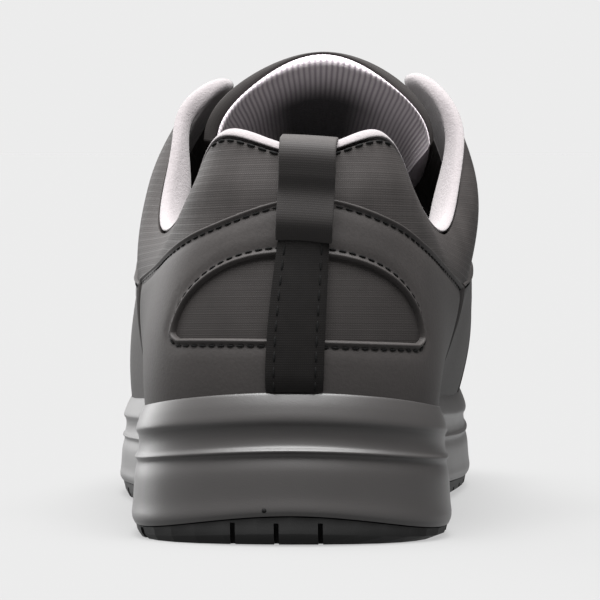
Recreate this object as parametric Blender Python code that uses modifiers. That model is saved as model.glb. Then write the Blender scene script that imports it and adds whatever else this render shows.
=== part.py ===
"""Low safety shoe for the left foot: cup sole, hollow cloth upper, overlays, padded collar, tongue, laces.

X runs from the outer side of the foot (-) to the inner side (+), Y from heel to toe, Z up from the floor.
Sizes are in millimetres and become metres where a mesh is made.
"""

import math
from collections import namedtuple

import bmesh
import bpy
import numpy as np
from mathutils import Matrix, Vector

MM = 0.001

# Driving sizes of the last and the sole
LENGTH = 300.0
BALL_WIDTH = 104.0
INSTEP_HEIGHT = 122.0
HEEL_RISE = 40.0
AXIS_SHIFT = 5.7

# Walls, gaps and the mesh's fineness
UPPER_WALL = 2.2
OVERLAY = 1.2
GAP = 0.35
UPPER_INSET = 5.0
STEPS_PER_RIB = 4
UPPER_ROWS = 10
LENGTH_SAMPLES = 40

# One row for each rib of the upper, from the back of the heel round the outer side to the toe and back.
# along and side: the sole's outline, in % of LENGTH and of BALL_WIDTH, counted from the heel's centre line.
# rim, part and floor: heights of the midsole's rim, its lower edge and the cup's floor, in % of HEEL_RISE.
# edge_...: the collar's or throat's edge, in % of LENGTH, BALL_WIDTH and INSTEP_HEIGHT.
# belly_... and brow_...: the wall's swelling above the rim and below the edge, in mm and in shares of height.
Rib = namedtuple(
    "Rib",
    "name along side rim part floor edge_along edge_side edge_up belly_out belly_up brow_out brow_drop",
)
RIBS = (
    Rib("heel_back", 0.0, 0.0, 100.0, 20.0, 67.5, 4.5, 3.5, 82.8, 1.5, 0.38, 4.0, 0.32),
    Rib("heel_corner_outer", 4.2, -31.5, 93.8, 11.5, 66.0, 7.5, -17.8, 86.6, 1.5, 0.38, 3.5, 0.30),
    Rib("heel_side_outer", 14.0, -42.7, 86.2, 9.5, 63.8, 15.0, -27.8, 73.5, 2.0, 0.40, 7.0, 0.30),
    Rib("waist_outer", 30.7, -43.4, 82.5, 15.0, 60.0, 27.7, -37.0, 68.5, 4.0, 0.42, 9.5, 0.30),
    Rib("midfoot_outer", 47.3, -48.7, 77.5, 14.0, 53.8, 38.7, -26.4, 98.5, 3.5, 0.38, 20.0, 0.28),
    Rib("ball_outer", 64.0, -57.0, 72.5, 11.5, 47.5, 50.0, -20.2, 86.1, 3.0, 0.36, 24.0, 0.26),
    Rib("toe_side_outer", 80.0, -52.4, 77.5, 15.0, 48.8, 58.7, -15.9, 75.8, 4.0, 0.50, 26.0, 0.27),
    Rib("toe_corner_outer", 93.7, -32.7, 87.5, 25.0, 55.0, 63.3, -10.0, 70.9, 4.5, 0.62, 44.0, 0.36),
    Rib("toe_tip", 100.0, 2.1, 95.0, 34.0, 59.0, 65.0, 1.5, 69.3, 4.0, 0.64, 52.0, 0.40),
    Rib("toe_corner_inner", 95.3, 31.2, 88.8, 26.0, 55.0, 63.3, 12.5, 70.9, 4.5, 0.62, 44.0, 0.36),
    Rib("toe_side_inner", 83.3, 42.5, 78.8, 15.5, 48.8, 58.7, 17.8, 75.8, 4.0, 0.50, 26.0, 0.27),
    Rib("ball_inner", 69.3, 43.1, 72.5, 11.5, 47.5, 50.0, 22.1, 86.1, 10.0, 0.38, 22.0, 0.26),
    Rib("midfoot_inner", 50.7, 38.6, 78.8, 16.0, 53.8, 38.7, 32.4, 99.5, 10.5, 0.40, 15.0, 0.28),
    Rib("waist_inner", 32.7, 36.5, 84.5, 17.0, 60.0, 27.7, 38.9, 68.5, 8.0, 0.42, 8.0, 0.30),
    Rib("heel_side_inner", 14.3, 40.2, 86.2, 9.5, 63.8, 15.0, 31.1, 73.5, 2.5, 0.40, 7.0, 0.30),
    Rib("heel_corner_inner", 4.2, 30.5, 93.8, 11.5, 66.0, 7.5, 22.6, 86.4, 1.5, 0.38, 3.5, 0.30),
)
ROUND = len(RIBS)

# The wings of the collar stand out between two ribs: rib position, spread in ribs, and mm across.
Wing = namedtuple("Wing", "at spread across")
WINGS = (Wing(12.5, 0.55, 3.2), Wing(3.4, 0.6, -2.2))

# The midsole's side from its lower edge to its rim, in tiers that flare downwards like shingles:
# share of its height, and inset from the outline.
Step = namedtuple("Step", "name share inset")
MIDSOLE_SIDE = (
    Step("lower_edge", 0.00, 0.8),
    Step("flare", 0.06, 0.0),
    Step("wall_low", 0.20, 0.5),
    Step("wall_waist", 0.42, 0.9),
    Step("wall_top", 0.545, 1.6),
    Step("ledge_edge", 0.585, 0.9),
    Step("ledge_slope", 0.625, 2.0),
    Step("groove", 0.70, 2.6),
    Step("groove_top", 0.765, 2.3),
    Step("band_edge", 0.815, 1.1),
    Step("band_mid", 0.90, 1.5),
    Step("rim_out", 0.97, 2.3),
    Step("rim_top", 1.00, 3.2),
    Step("rim_in", 0.99, UPPER_INSET - GAP),
)
CORE_INSET = 9.0
CORE_RISE = 2.4

# The outsole's tread: where it stands on the floor, how far its ends rise, and its grooves.
# Its edge lies further in along the inner side of the foot than along the outer.
HEEL_BEVEL = 15.0
HEEL_LIFT = 0.5
HEEL_CURVE = 1.5
HEEL_PAD_END = 78.0
ARCH_RISE = 4.0
BALL_PAD_START = 150.0
TOE_SPRING_START = 236.0
TOE_SPRING = 11.5
TOE_CURVE = 1.8
TREAD_INSET = 3.8
TREAD_INSET_INNER = 1.2
TREAD_PAD_INSET = 12.0
OUTSOLE_EDGE_INSET = 1.2
OUTSOLE_SIDE_INSET = 1.7
OUTSOLE_SIDE_SHARE = 0.4
GROOVE_DEPTH = 3.0
SPLIT_DEPTH = 3.1
CUT_PAST = 1.0
GROOVE_WIDTH = 4.0
GROOVE_ALONG = (32.0, 50.0, 66.0, 166.0, 184.0, 202.0, 220.0, 240.0)
GROOVE_SLANT = 8.0
SPLIT_WIDTH = 5.0
SPLITS = ((24.0, 72.0), (158.0, 248.0))
SIPE_WIDTH = 1.3
SIPE_PITCH = 11.5
SIPE_ACROSS = -3.6
SIPE_REACH = 9.0
SIPE_RISE = 6.0

INSOLE_THICKNESS = 4.0

# The heel counter: rib position, height of its top edge, and of its window's lower edge.
Counter = namedtuple("Counter", "at top window_low")
COUNTER = (
    Counter(-2.75, 66.0, 51.5),
    Counter(-2.0, 74.0, 51.5),
    Counter(-1.5, 78.8, 51.8),
    Counter(-1.0, 84.4, 52.5),
    Counter(0.0, 90.7, 53.8),
    Counter(1.0, 82.2, 53.5),
    Counter(1.5, 77.4, 52.8),
    Counter(2.0, 73.8, 52.6),
    Counter(2.75, 68.0, 52.6),
)
# The window is a half-moon: its ends as rib positions, its height at the ends, and its arch above that.
WINDOW_ENDS = (-1.33, 1.12)
WINDOW_LEAST = 3.4
WINDOW_ARCH = 18.3
WINDOW_SQUARE = 2.5
WINDOW_ROUND = 0.75

# Overlays start this far above the sole's rim.
OVERLAY_START = 1.2

# The side panels: rib position, and height of the upper edge.
Panel = namedtuple("Panel", "at top")
PANEL = (Panel(2.77, 66.5), Panel(3.25, 68.5), Panel(3.75, 72.0), Panel(4.25, 74.0), Panel(5.0, 63.0),
         Panel(5.25, 55.0))

# The toe cap: its ends as rib positions, and its back edge, which leans back from the top to the sole.
CAP_ENDS = (5.75, 10.5)
CAP_ALONG = 222.0
CAP_LEAN = 0.5
CAP_LEAST = 5.0
CAP_GAP = 0.56

# Rows of faces up each overlay
PANEL_ROWS = 7
CAP_ROWS = 9
EYESTAY_ROWS = 5
STRIP_ROWS = 8

EYESTAY_ENDS = (4.3, 11.7)
EYESTAY_EDGE = 1.2
EYESTAY_WIDTH = 16.0
EYELETS = (4.62, 5.0, 5.42, 5.92, 6.5)
EYELET_FROM_EDGE = 8.0
EYELET_RADIUS = 3.6
EYELET_WIRE = 0.9
LACE = 3.4
LACE_LIFT = 4.4
LACE_OVER = 1.5
LACE_SIDES = 6

# The tongue: place of its middle line, its half width, how far its sides drop, and its thickness.
Fold = namedtuple("Fold", "along across up half drop thick")
TONGUE = (
    Fold(203.0, 1.5, 76.0, 17.0, 7.0, 3.0),
    Fold(190.0, 1.5, 82.0, 20.0, 8.0, 4.0),
    Fold(174.0, 1.5, 89.5, 22.5, 9.5, 5.0),
    Fold(150.0, 2.0, 102.5, 26.0, 13.0, 6.0),
    Fold(130.0, 3.2, 115.0, 29.8, 19.0, 6.5),
    Fold(116.0, 4.5, 125.3, 30.8, 23.5, 6.5),
    Fold(107.5, 5.0, 130.2, 30.8, 25.0, 5.0),
)
TONGUE_SIDES = 6
# The tongue's padding thins to this share at its sides, and leans in, back and down by these shares.
TONGUE_THIN = 0.35
TONGUE_LEAN = (0.5, 0.5, 0.9)

# The collar's padded cuff in section: height above the upper's edge, depth from the upper's outer face,
# and how much further the padding pushes it in where the cuff is full.
Pad = namedtuple("Pad", "above depth padding")
CUFF = (
    Pad(-34.0, 3.0, 0.5), Pad(-26.0, 3.8, 3.6), Pad(-15.0, 4.2, 6.2), Pad(-4.0, 4.3, 6.6), Pad(1.6, 4.0, 4.8),
    Pad(2.8, 2.4, 1.0), Pad(2.5, 0.8, 0.0), Pad(1.3, 0.3, 0.0), Pad(1.5, 2.9, 0.0), Pad(-4.0, 3.5, 0.0),
    Pad(-14.0, 3.3, 0.0), Pad(-25.0, 3.2, 0.0),
)
# The padding's share at rib positions, counted from the back of the heel.
CUFF_FILL = ((-4.25, 0.0), (-4.0, 0.0), (-3.75, 0.05), (-3.5, 0.3), (-3.25, 0.62), (-3.0, 0.8), (-2.5, 0.9),
             (2.5, 0.9), (3.0, 0.8), (3.25, 0.62), (3.5, 0.3), (3.75, 0.05), (4.0, 0.0), (4.25, 0.0))

STRIP_WIDTH = 13.4
STRIP_SHIFT = 1.0
STRIP_TOP = 78.4
LOOP_WIDTH = 14.8
WEBBING = 1.4
# The pull loop from the side: place along the shoe, height, and place of its middle across.
Bend = namedtuple("Bend", "along up across")
PULL_LOOP = (Bend(5.9, 79.4, 3.4), Bend(3.6, 86.0, 3.8), Bend(2.6, 93.0, 4.2), Bend(3.4, 100.0, 4.5),
             Bend(6.6, 104.2, 4.6), Bend(12.0, 105.8, 4.6), Bend(23.0, 106.0, 4.6), Bend(31.5, 103.5, 4.6),
             Bend(34.0, 97.5, 4.6))

Finish = namedtuple("Finish", "colour roughness")
FINISHES = {
    "ripstop": Finish((0.040, 0.039, 0.040), 0.70),
    "film": Finish((0.032, 0.031, 0.032), 0.45),
    "webbing": Finish((0.013, 0.013, 0.014), 0.75),
    "lining": Finish((0.52, 0.47, 0.48), 0.90),
    "midsole": Finish((0.078, 0.076, 0.077), 0.38),
    "outsole": Finish((0.018, 0.018, 0.019), 0.60),
    "insole": Finish((0.030, 0.030, 0.032), 0.90),
    "lace": Finish((0.020, 0.020, 0.021), 0.80),
    "eyelet": Finish((0.050, 0.050, 0.052), 0.40),
}


# The last's curves

def column(name):
    return np.array([getattr(rib, name) for rib in RIBS])


def closed_curve(values, at):
    """The smooth closed curve through one value for each rib, read at rib positions."""
    size = len(values)
    spread = (4 * np.eye(size) + np.roll(np.eye(size), 1, 0) + np.roll(np.eye(size), -1, 0)) / 6
    knots = np.linalg.solve(spread, values)
    at = np.asarray(at, float)
    low = np.floor(at).astype(int)
    part = at - low
    rest = 1 - part
    weights = (rest**3, 3 * part**3 - 6 * part**2 + 4, 3 * rest**3 - 6 * rest**2 + 4, part**3)
    return sum(weight * knots[(low + i - 1) % size] for i, weight in enumerate(weights)) / 6


def outline(at):
    """The sole's widest outline seen from above."""
    across = closed_curve(column("side"), at) * BALL_WIDTH / 100 + AXIS_SHIFT
    along = closed_curve(column("along"), at) * LENGTH / 100 - LENGTH / 2
    return np.stack([across, along], -1)


def outward(at):
    """The outline's level direction away from the foot."""
    step = 0.01
    ahead = outline(np.asarray(at) + step) - outline(np.asarray(at) - step)
    turned = np.stack([-ahead[..., 1], ahead[..., 0]], -1)
    return turned / np.linalg.norm(turned, axis=-1, keepdims=True)


def sole_height(name, at):
    return closed_curve(column(name), at) * HEEL_RISE / 100


def handles(at):
    """The four points that shape each rib's wall from the rim to the edge."""
    rim = sole_height("rim", at)
    edge = np.stack([
        closed_curve(column("edge_side"), at) * BALL_WIDTH / 100 + AXIS_SHIFT,
        closed_curve(column("edge_along"), at) * LENGTH / 100 - LENGTH / 2,
        closed_curve(column("edge_up"), at) * INSTEP_HEIGHT / 100,
    ], -1)
    for wing in WINGS:
        edge[..., 0] += wing.across * np.exp(-(((np.asarray(at) % ROUND - wing.at) / wing.spread) ** 2))
    out = np.concatenate([outward(at), np.zeros_like(rim)[..., None]], -1)
    up = np.zeros_like(out)
    up[..., 2] = edge[..., 2] - rim
    foot = np.concatenate([outline(at), rim[..., None]], -1) - UPPER_INSET * out

    def swell(base, out_name, up_name, sign):
        return (base + closed_curve(column(out_name), at)[..., None] * out
                + sign * closed_curve(column(up_name), at)[..., None] * up)

    return foot, swell(foot, "belly_out", "belly_up", 1), swell(edge, "brow_out", "brow_drop", -1), edge


def along_wall(points, t):
    a, b, c, d = points
    t = t[..., None]
    return a * (1 - t) ** 3 + 3 * b * t * (1 - t) ** 2 + 3 * c * t**2 * (1 - t) + d * t**3


def wall_slope(points, t):
    a, b, c, d = points
    t = t[..., None]
    return 3 * (b - a) * (1 - t) ** 2 + 6 * (c - b) * t * (1 - t) + 3 * (d - c) * t**2


def rib_lengths(at):
    """Each rib's height inside the cup, and the lengths and points along its wall at even steps."""
    at = np.asarray(at, float)
    points = [p[..., None, :] for p in handles(at)]
    steps = np.broadcast_to(np.linspace(0, 1, LENGTH_SAMPLES), at.shape + (LENGTH_SAMPLES,))
    line = along_wall(points, steps)
    run = np.linalg.norm(np.diff(line, axis=-2), axis=-1)
    lengths = np.concatenate([np.zeros(at.shape + (1,)), np.cumsum(run, -1)], -1)
    cup = sole_height("rim", at) - sole_height("floor", at)
    return cup, lengths, line


def wall(at, share, off=0.0):
    """Points of the upper's outer face, moved outwards by off. Share 0 is the cup's floor, 1 the edge."""
    at, share, off = np.broadcast_arrays(*(np.asarray(v, float) for v in (at, share, off)))
    cup, lengths, _ = rib_lengths(at)
    distance = share * (cup + lengths[..., -1])
    even = np.linspace(0, 1, LENGTH_SAMPLES)
    t = np.empty(at.shape)
    for index in np.ndindex(at.shape):
        t[index] = np.interp(distance[index] - cup[index], lengths[index], even)
    points = handles(at)
    place = along_wall(points, t)
    step = 0.01
    sideways = along_wall(handles(at + step), t) - along_wall(handles(at - step), t)
    normal = np.cross(sideways, wall_slope(points, t))
    normal = -normal / np.linalg.norm(normal, axis=-1, keepdims=True)
    inside = distance < cup
    place[inside, 2] = (sole_height("floor", at) + distance)[inside]
    normal[inside] = np.concatenate([outward(at), np.zeros(at.shape + (1,))], -1)[inside]
    return place + off[..., None] * normal


def share_where(at, rise):
    """The share of each rib at which rise, which grows along the wall, passes 0."""
    cup, lengths, line = rib_lengths(at)
    level = rise(line)
    found = [np.interp(0, level[i], lengths[i]) for i in np.ndindex(cup.shape)]
    return (cup + np.reshape(found, cup.shape)) / (cup + lengths[..., -1])


def share_at_height(at, height):
    return share_where(at, lambda line: line[..., 2] - np.asarray(height)[..., None])


def share_from_edge(at, distance):
    cup, lengths, _ = rib_lengths(at)
    return 1 - distance / (cup + lengths[..., -1])


def smooth_table(rows, name, at):
    """A table's column as a smooth function of rib position, by cubic pieces with eased slopes."""
    x = np.array([row.at for row in rows])
    y = np.array([getattr(row, name) for row in rows])
    slope = np.gradient(y, x)
    at = np.clip(np.asarray(at, float), x[0], x[-1])
    i = np.clip(np.searchsorted(x, at) - 1, 0, len(x) - 2)
    span = x[i + 1] - x[i]
    f = (at - x[i]) / span
    ease = f * f * (3 - 2 * f)
    return (y[i] * (1 - ease) + y[i + 1] * ease
            + span * (slope[i] * f * (1 - f) ** 2 - slope[i + 1] * f * f * (1 - f)))


def tread_height(along):
    """The outsole's underside: flat under heel and ball, bevelled at the back, raised at arch and toe."""
    along = np.asarray(along, float) + LENGTH / 2
    bevel = HEEL_LIFT * np.clip((HEEL_BEVEL - along) / HEEL_BEVEL, 0, 1) ** HEEL_CURVE
    arch = np.clip((along - HEEL_PAD_END) / (BALL_PAD_START - HEEL_PAD_END), 0, 1)
    spring = np.clip((along - TOE_SPRING_START) / (LENGTH - TOE_SPRING_START), 0, 1)
    return bevel + ARCH_RISE * np.sin(math.pi * arch) ** 2 + TOE_SPRING * spring**TOE_CURVE


# Mesh makers

def material(name):
    finish = FINISHES[name]
    made = bpy.data.materials.get(name) or bpy.data.materials.new(name)
    made.use_nodes = True
    shader = made.node_tree.nodes["Principled BSDF"]
    shader.inputs["Base Color"].default_value = (*finish.colour, 1)
    shader.inputs["Roughness"].default_value = finish.roughness
    made.diffuse_color = (*finish.colour, 1)
    return made


def place_object(name, mesh, finish, collection):
    obj = bpy.data.objects.new(name, mesh)
    collection.objects.link(obj)
    mesh.materials.append(material(finish))
    mesh.shade_smooth()
    return obj


def mesh_of(name, points, faces):
    """A mesh of points given in millimetres."""
    mesh = bpy.data.meshes.new(name)
    mesh.from_pydata((np.asarray(points) * MM).tolist(), [], faces)
    return mesh


def turn_outwards(mesh):
    shape = bmesh.new()
    shape.from_mesh(mesh)
    bmesh.ops.recalc_face_normals(shape, faces=shape.faces)
    shape.to_mesh(mesh)
    shape.free()


def loft(name, rings, finish, collection):
    """A closed solid through rings of one size, each end filled by rungs across its ring."""
    size = len(rings[0])
    points = np.concatenate(rings)
    faces = []
    for row in range(len(rings) - 1):
        for i in range(size):
            j = (i + 1) % size
            faces.append((row * size + i, row * size + j, (row + 1) * size + j, (row + 1) * size + i))
    for base in (0, (len(rings) - 1) * size):
        faces.append((base, base + 1, base + size - 1))
        faces.append((base + size // 2, base + size // 2 + 1, base + size // 2 - 1))
        for i in range(1, size // 2 - 1):
            faces.append((base + i, base + i + 1, base + size - i - 1, base + size - i))
    mesh = mesh_of(name, points, faces)
    turn_outwards(mesh)
    return place_object(name, mesh, finish, collection)


def skin(name, grid, thickness, offset, finish, collection, closed=False, left_out=()):
    """A wall of even thickness grown from a grid of points: rows from low to high, columns round the shoe."""
    rows, columns = grid.shape[:2]
    faces = []
    for row in range(rows - 1):
        for i in range(columns if closed else columns - 1):
            j = (i + 1) % columns
            low, high = row * columns, (row + 1) * columns
            if (row, i) not in left_out:
                faces.append((low + i, high + i, high + j, low + j))
    mesh = mesh_of(name, grid.reshape(-1, 3), faces)
    obj = place_object(name, mesh, finish, collection)
    grow = obj.modifiers.new("wall", "SOLIDIFY")
    grow.thickness = thickness * MM
    grow.offset = offset
    grow.use_even_offset = True
    return obj


def patch(at, low, high, rows, off):
    """A grid on the upper between two edges, given as shares at each rib position."""
    shares = low + (high - low) * np.linspace(0, 1, rows)[:, None]
    return wall(at, shares, off)


def columns_between(first, last):
    """Rib positions from first to last, on the upper's own columns wherever they can be."""
    inner = np.arange(math.ceil(first * STEPS_PER_RIB + 0.2), math.floor(last * STEPS_PER_RIB - 0.2) + 1)
    return np.concatenate([[first], inner / STEPS_PER_RIB, [last]])


def cut(obj, cutter):
    difference = obj.modifiers.new(cutter.name, "BOOLEAN")
    difference.operation = "DIFFERENCE"
    difference.object = cutter


def box_cutter(name, centre, size, turn, collection):
    bpy.ops.mesh.primitive_cube_add(size=1)
    box = bpy.context.object
    box.name = name
    box.data.transform(Matrix.Diagonal((*(side * MM for side in size), 1)))
    box.data.transform(Matrix.Rotation(turn, 4, "Z"))
    box.location = [value * MM for value in centre]
    for other in box.users_collection:
        other.objects.unlink(box)
    collection.objects.link(box)
    box.hide_render = True
    box.display_type = "WIRE"
    return box


# The pieces

def all_round():
    return np.arange(ROUND * STEPS_PER_RIB) / STEPS_PER_RIB


def sole_ring(at, inset, height):
    plan = outline(at) - np.asarray(inset) * outward(at)
    return np.concatenate([plan, np.broadcast_to(height, at.shape)[:, None]], -1)


def make_midsole(parts):
    """The cup sole: a stepped side, a rim round the upper's foot, and a floor inside."""
    at = all_round()
    low, rim, floor = (sole_height(name, at) for name in ("part", "rim", "floor"))
    rings = [sole_ring(at, CORE_INSET, low + CORE_RISE)]
    for step in MIDSOLE_SIDE:
        rings.append(sole_ring(at, step.inset, low * (1 - step.share) ** 2 + rim * step.share))
    rings.append(sole_ring(at, UPPER_INSET - GAP, floor - GAP))
    return loft("midsole", rings, "midsole", parts)


def make_outsole(parts, cutters):
    """The rubber underneath: a bevelled edge, flat pads under heel and ball, and grooves between the lugs."""
    at = all_round()
    top = sole_height("part", at) - GAP
    core = sole_ring(at, CORE_INSET + GAP, top + CORE_RISE)
    edge = sole_ring(at, OUTSOLE_EDGE_INSET, top)
    tread = sole_ring(at, TREAD_INSET + TREAD_INSET_INNER * outward(at)[:, :1], 0)
    tread[:, 2] = tread_height(tread[:, 1])
    side_height = OUTSOLE_SIDE_SHARE * top + (1 - OUTSOLE_SIDE_SHARE) * tread[:, 2]
    side = sole_ring(at, OUTSOLE_SIDE_INSET, side_height)
    pad = sole_ring(at, TREAD_PAD_INSET, 0)
    pad[:, 2] = tread_height(pad[:, 1])
    outsole = loft("outsole", [core, edge, side, tread, pad], "outsole", parts)
    for number, along in enumerate(GROOVE_ALONG, 1):
        centre = (0, along - LENGTH / 2, GROOVE_DEPTH / 2 - CUT_PAST + tread_height(along - LENGTH / 2))
        size = (2 * BALL_WIDTH, GROOVE_WIDTH, GROOVE_DEPTH + 2 * CUT_PAST)
        turn = math.radians(GROOVE_SLANT if along < BALL_PAD_START else -GROOVE_SLANT)
        cut(outsole, box_cutter(f"groove_{number}", centre, size, turn, cutters))
    for number, (start, end) in enumerate(SPLITS, 1):
        across = np.mean([outline(k)[0] for k in ((2, 14) if start < BALL_PAD_START else (5.5, 10.5))])
        centre = (across, (start + end) / 2 - LENGTH / 2, SPLIT_DEPTH / 2 - CUT_PAST)
        size = (SPLIT_WIDTH, end - start, SPLIT_DEPTH + 2 * CUT_PAST)
        cut(outsole, box_cutter(f"split_{number}", centre, size, 0, cutters))
    for number, place in enumerate((-1, 0, 1), 1):
        across = AXIS_SHIFT + SIPE_ACROSS + place * SIPE_PITCH
        centre = (across, -LENGTH / 2 + SIPE_REACH / 2 - CUT_PAST, SIPE_RISE / 2 - CUT_PAST)
        size = (SIPE_WIDTH, SIPE_REACH + 2 * CUT_PAST, SIPE_RISE + 2 * CUT_PAST)
        cut(outsole, box_cutter(f"sipe_{number}", centre, size, 0, cutters))
    return outsole


def make_insole(parts):
    at = all_round()
    inset = UPPER_INSET + UPPER_WALL + 2 * GAP
    floor = sole_height("floor", at)
    return loft("insole", [sole_ring(at, inset, floor), sole_ring(at, inset, floor + INSOLE_THICKNESS)],
                "insole", parts)


def make_upper(parts):
    """The hollow upper: one wall from the cup's floor to the collar and throat, open above and below."""
    at = all_round()
    rim = share_at_height(at, sole_height("rim", at))
    shares = np.concatenate([0 * rim[None], rim + (1 - rim) * np.linspace(0, 1, UPPER_ROWS)[:, None]])
    return skin("upper", wall(at, shares), UPPER_WALL, -1, "ripstop", parts, closed=True)


def make_cuff(parts):
    """The padded lining that fills the collar and rolls over its edge."""
    at = columns_between(CUFF_FILL[0][0], CUFF_FILL[-1][0])
    fill = np.interp(at, *zip(*CUFF_FILL))
    edge = wall(at, 1.0)
    above = edge - wall(at, share_from_edge(at, 2.0))
    above /= np.linalg.norm(above, axis=-1, keepdims=True)
    inwards = wall(at, 1.0, -1.0) - edge
    sections = []
    for pad in CUFF:
        depth = pad.depth + pad.padding * fill
        if pad.above > 0:
            sections.append(edge + pad.above * above + depth[:, None] * inwards)
        else:
            sections.append(wall(at, share_from_edge(at, -pad.above), -depth))
    return loft("collar_cuff", list(np.stack(sections, 1)), "lining", parts)


def make_tongue(parts):
    """The padded tongue: an arched pad from inside the vamp to above the collar."""
    rings = []
    turn = np.linspace(-1, 1, 2 * TONGUE_SIDES + 1) * math.pi / 2
    for fold in TONGUE:
        full = fold.thick * (TONGUE_THIN + (1 - TONGUE_THIN) * np.cos(turn))
        top = np.stack([fold.across + AXIS_SHIFT + fold.half * np.sin(turn),
                        np.full_like(turn, fold.along - LENGTH / 2),
                        fold.up - fold.drop * (1 - np.cos(turn))], -1)
        under = top.copy()
        under[:, 0] -= TONGUE_LEAN[0] * full * np.sin(turn)
        under[:, 1] -= TONGUE_LEAN[1] * full
        under[:, 2] -= TONGUE_LEAN[2] * full
        rings.append(np.concatenate([top, under[-2:0:-1]]))
    return loft("tongue", rings, "ripstop", parts)


def window_height(at):
    """The window's height at rib positions: an arch that falls to its least height at the window's ends."""
    share = np.clip(np.where(at < 0, at / WINDOW_ENDS[0], at / WINDOW_ENDS[1]), 0, 1)
    return WINDOW_LEAST + WINDOW_ARCH * (1 - share**WINDOW_SQUARE) ** WINDOW_ROUND


def make_counter(parts):
    """The heel counter: a film over the back of the upper with a half-moon window."""
    at = np.unique(np.concatenate([columns_between(COUNTER[0].at, COUNTER[-1].at), WINDOW_ENDS]))
    start = share_at_height(at, sole_height("rim", at) + OVERLAY_START)
    low = smooth_table(COUNTER, "window_low", at)
    window_low, window_high = share_at_height(at, low), share_at_height(at, low + window_height(at))
    top = share_at_height(at, smooth_table(COUNTER, "top", at))
    below = start + (window_low - start) * np.linspace(0, 1, 3)[:, None]
    above = window_high + (top - window_high) * np.linspace(0, 1, 4)[:, None]
    shares = np.concatenate([below, above])
    grid = wall(at, shares, GAP)
    window_row = len(below) - 1
    window = {(window_row, i) for i in range(len(at) - 1)
              if at[i] >= WINDOW_ENDS[0] and at[i + 1] <= WINDOW_ENDS[1]}
    return skin("heel_counter", grid, OVERLAY, 1, "film", parts, left_out=window)


def make_panel(name, side, parts):
    """A side panel between the heel counter and the toe cap, below the eyestay."""
    reach = columns_between(PANEL[0].at, PANEL[-1].at)
    at = reach if side > 0 else ROUND - reach[::-1]
    start = share_at_height(at, sole_height("rim", at) + OVERLAY_START)
    top = share_at_height(at, smooth_table(PANEL, "top", at if side > 0 else ROUND - at))
    return skin(name, patch(at, start, top, PANEL_ROWS, GAP), OVERLAY, 1, "film", parts)


def make_toe_cap(parts):
    at = columns_between(*CAP_ENDS)
    rim = sole_height("rim", at)
    start = share_at_height(at, rim + OVERLAY_START)
    least = share_at_height(at, rim + CAP_LEAST)

    def past_edge(line):
        return CAP_ALONG - LENGTH / 2 - line[..., 1] + CAP_LEAN * (line[..., 2] - HEEL_RISE)

    edge = np.maximum(share_where(at, past_edge), least)
    return skin("toe_cap", patch(at, start, edge, CAP_ROWS, CAP_GAP), OVERLAY, 1, "film", parts)


def make_eyestay(parts):
    at = columns_between(*EYESTAY_ENDS)
    low = share_from_edge(at, EYESTAY_WIDTH)
    high = share_from_edge(at, EYESTAY_EDGE)
    return skin("eyestay", patch(at, low, high, EYESTAY_ROWS, 2 * GAP), OVERLAY, 1, "film", parts)


def make_strip(parts):
    """The tape down the back of the heel, over the counter and a little to its inner side."""
    height = np.linspace(sole_height("rim", 0.0) + OVERLAY_START, STRIP_TOP, STRIP_ROWS)
    per_rib = np.linalg.norm(wall(0.5, 0.5) - wall(-0.5, 0.5))
    across = (np.linspace(-0.5, 0.5, 5) * STRIP_WIDTH - STRIP_SHIFT) / per_rib
    at = np.broadcast_to(across, (len(height), len(across)))
    shares = share_at_height(at, np.broadcast_to(height[:, None], at.shape))
    return skin("heel_strip", wall(at, shares, 2 * GAP + OVERLAY), WEBBING, 1, "webbing", parts)


def make_pull_loop(parts):
    """The webbing loop: out from the heel strip, over the collar and down inside it."""
    half = np.array([LOOP_WIDTH / 2, 0, 0])
    middle = np.array([(b.across + AXIS_SHIFT, b.along - LENGTH / 2, b.up) for b in PULL_LOOP])
    grid = np.stack([middle - half, middle, middle + half], 1)
    return skin("pull_loop", grid[:, ::-1], WEBBING, 0, "webbing", parts)


def eyelet_place(at):
    """An eyelet's middle on the eyestay, and the way it faces."""
    share = share_from_edge(at, EYELET_FROM_EDGE)
    base = 4 * GAP + OVERLAY
    on = wall(at, share, base)
    return on, wall(at, share, base + 1) - on


def make_eyelet(name, at, parts):
    place, facing = eyelet_place(at)
    bpy.ops.mesh.primitive_torus_add(major_segments=8, minor_segments=4, major_radius=EYELET_RADIUS * MM,
                                     minor_radius=EYELET_WIRE * MM)
    eyelet = bpy.context.object
    eyelet.name = name
    eyelet.location = Vector((place + 0.9 * EYELET_WIRE * facing) * MM)
    eyelet.rotation_mode = "QUATERNION"
    eyelet.rotation_quaternion = Vector(facing).to_track_quat("Z", "Y")
    for other in eyelet.users_collection:
        other.objects.unlink(eyelet)
    parts.objects.link(eyelet)
    eyelet.data.materials.append(material("eyelet"))
    eyelet.data.shade_smooth()
    return eyelet


def tongue_top(along):
    rows = TONGUE[::-1]
    return np.interp(along + LENGTH / 2, [f.along for f in rows], [f.up for f in rows])


def cord_rings(places):
    """Rings of points round a cord through places in millimetres."""
    places = np.array(places)
    ahead = np.gradient(places, axis=0)
    ahead /= np.linalg.norm(ahead, axis=1, keepdims=True)
    beside = np.cross(ahead, (0, 0, 1))
    beside /= np.linalg.norm(beside, axis=1, keepdims=True)
    above = np.cross(beside, ahead)
    turn = np.arange(LACE_SIDES) * 2 * math.pi / LACE_SIDES
    rings = [place + LACE / 2 * (np.cos(turn)[:, None] * b + np.sin(turn)[:, None] * a)
             for place, b, a in zip(places, beside, above)]
    return np.array(rings)


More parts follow.
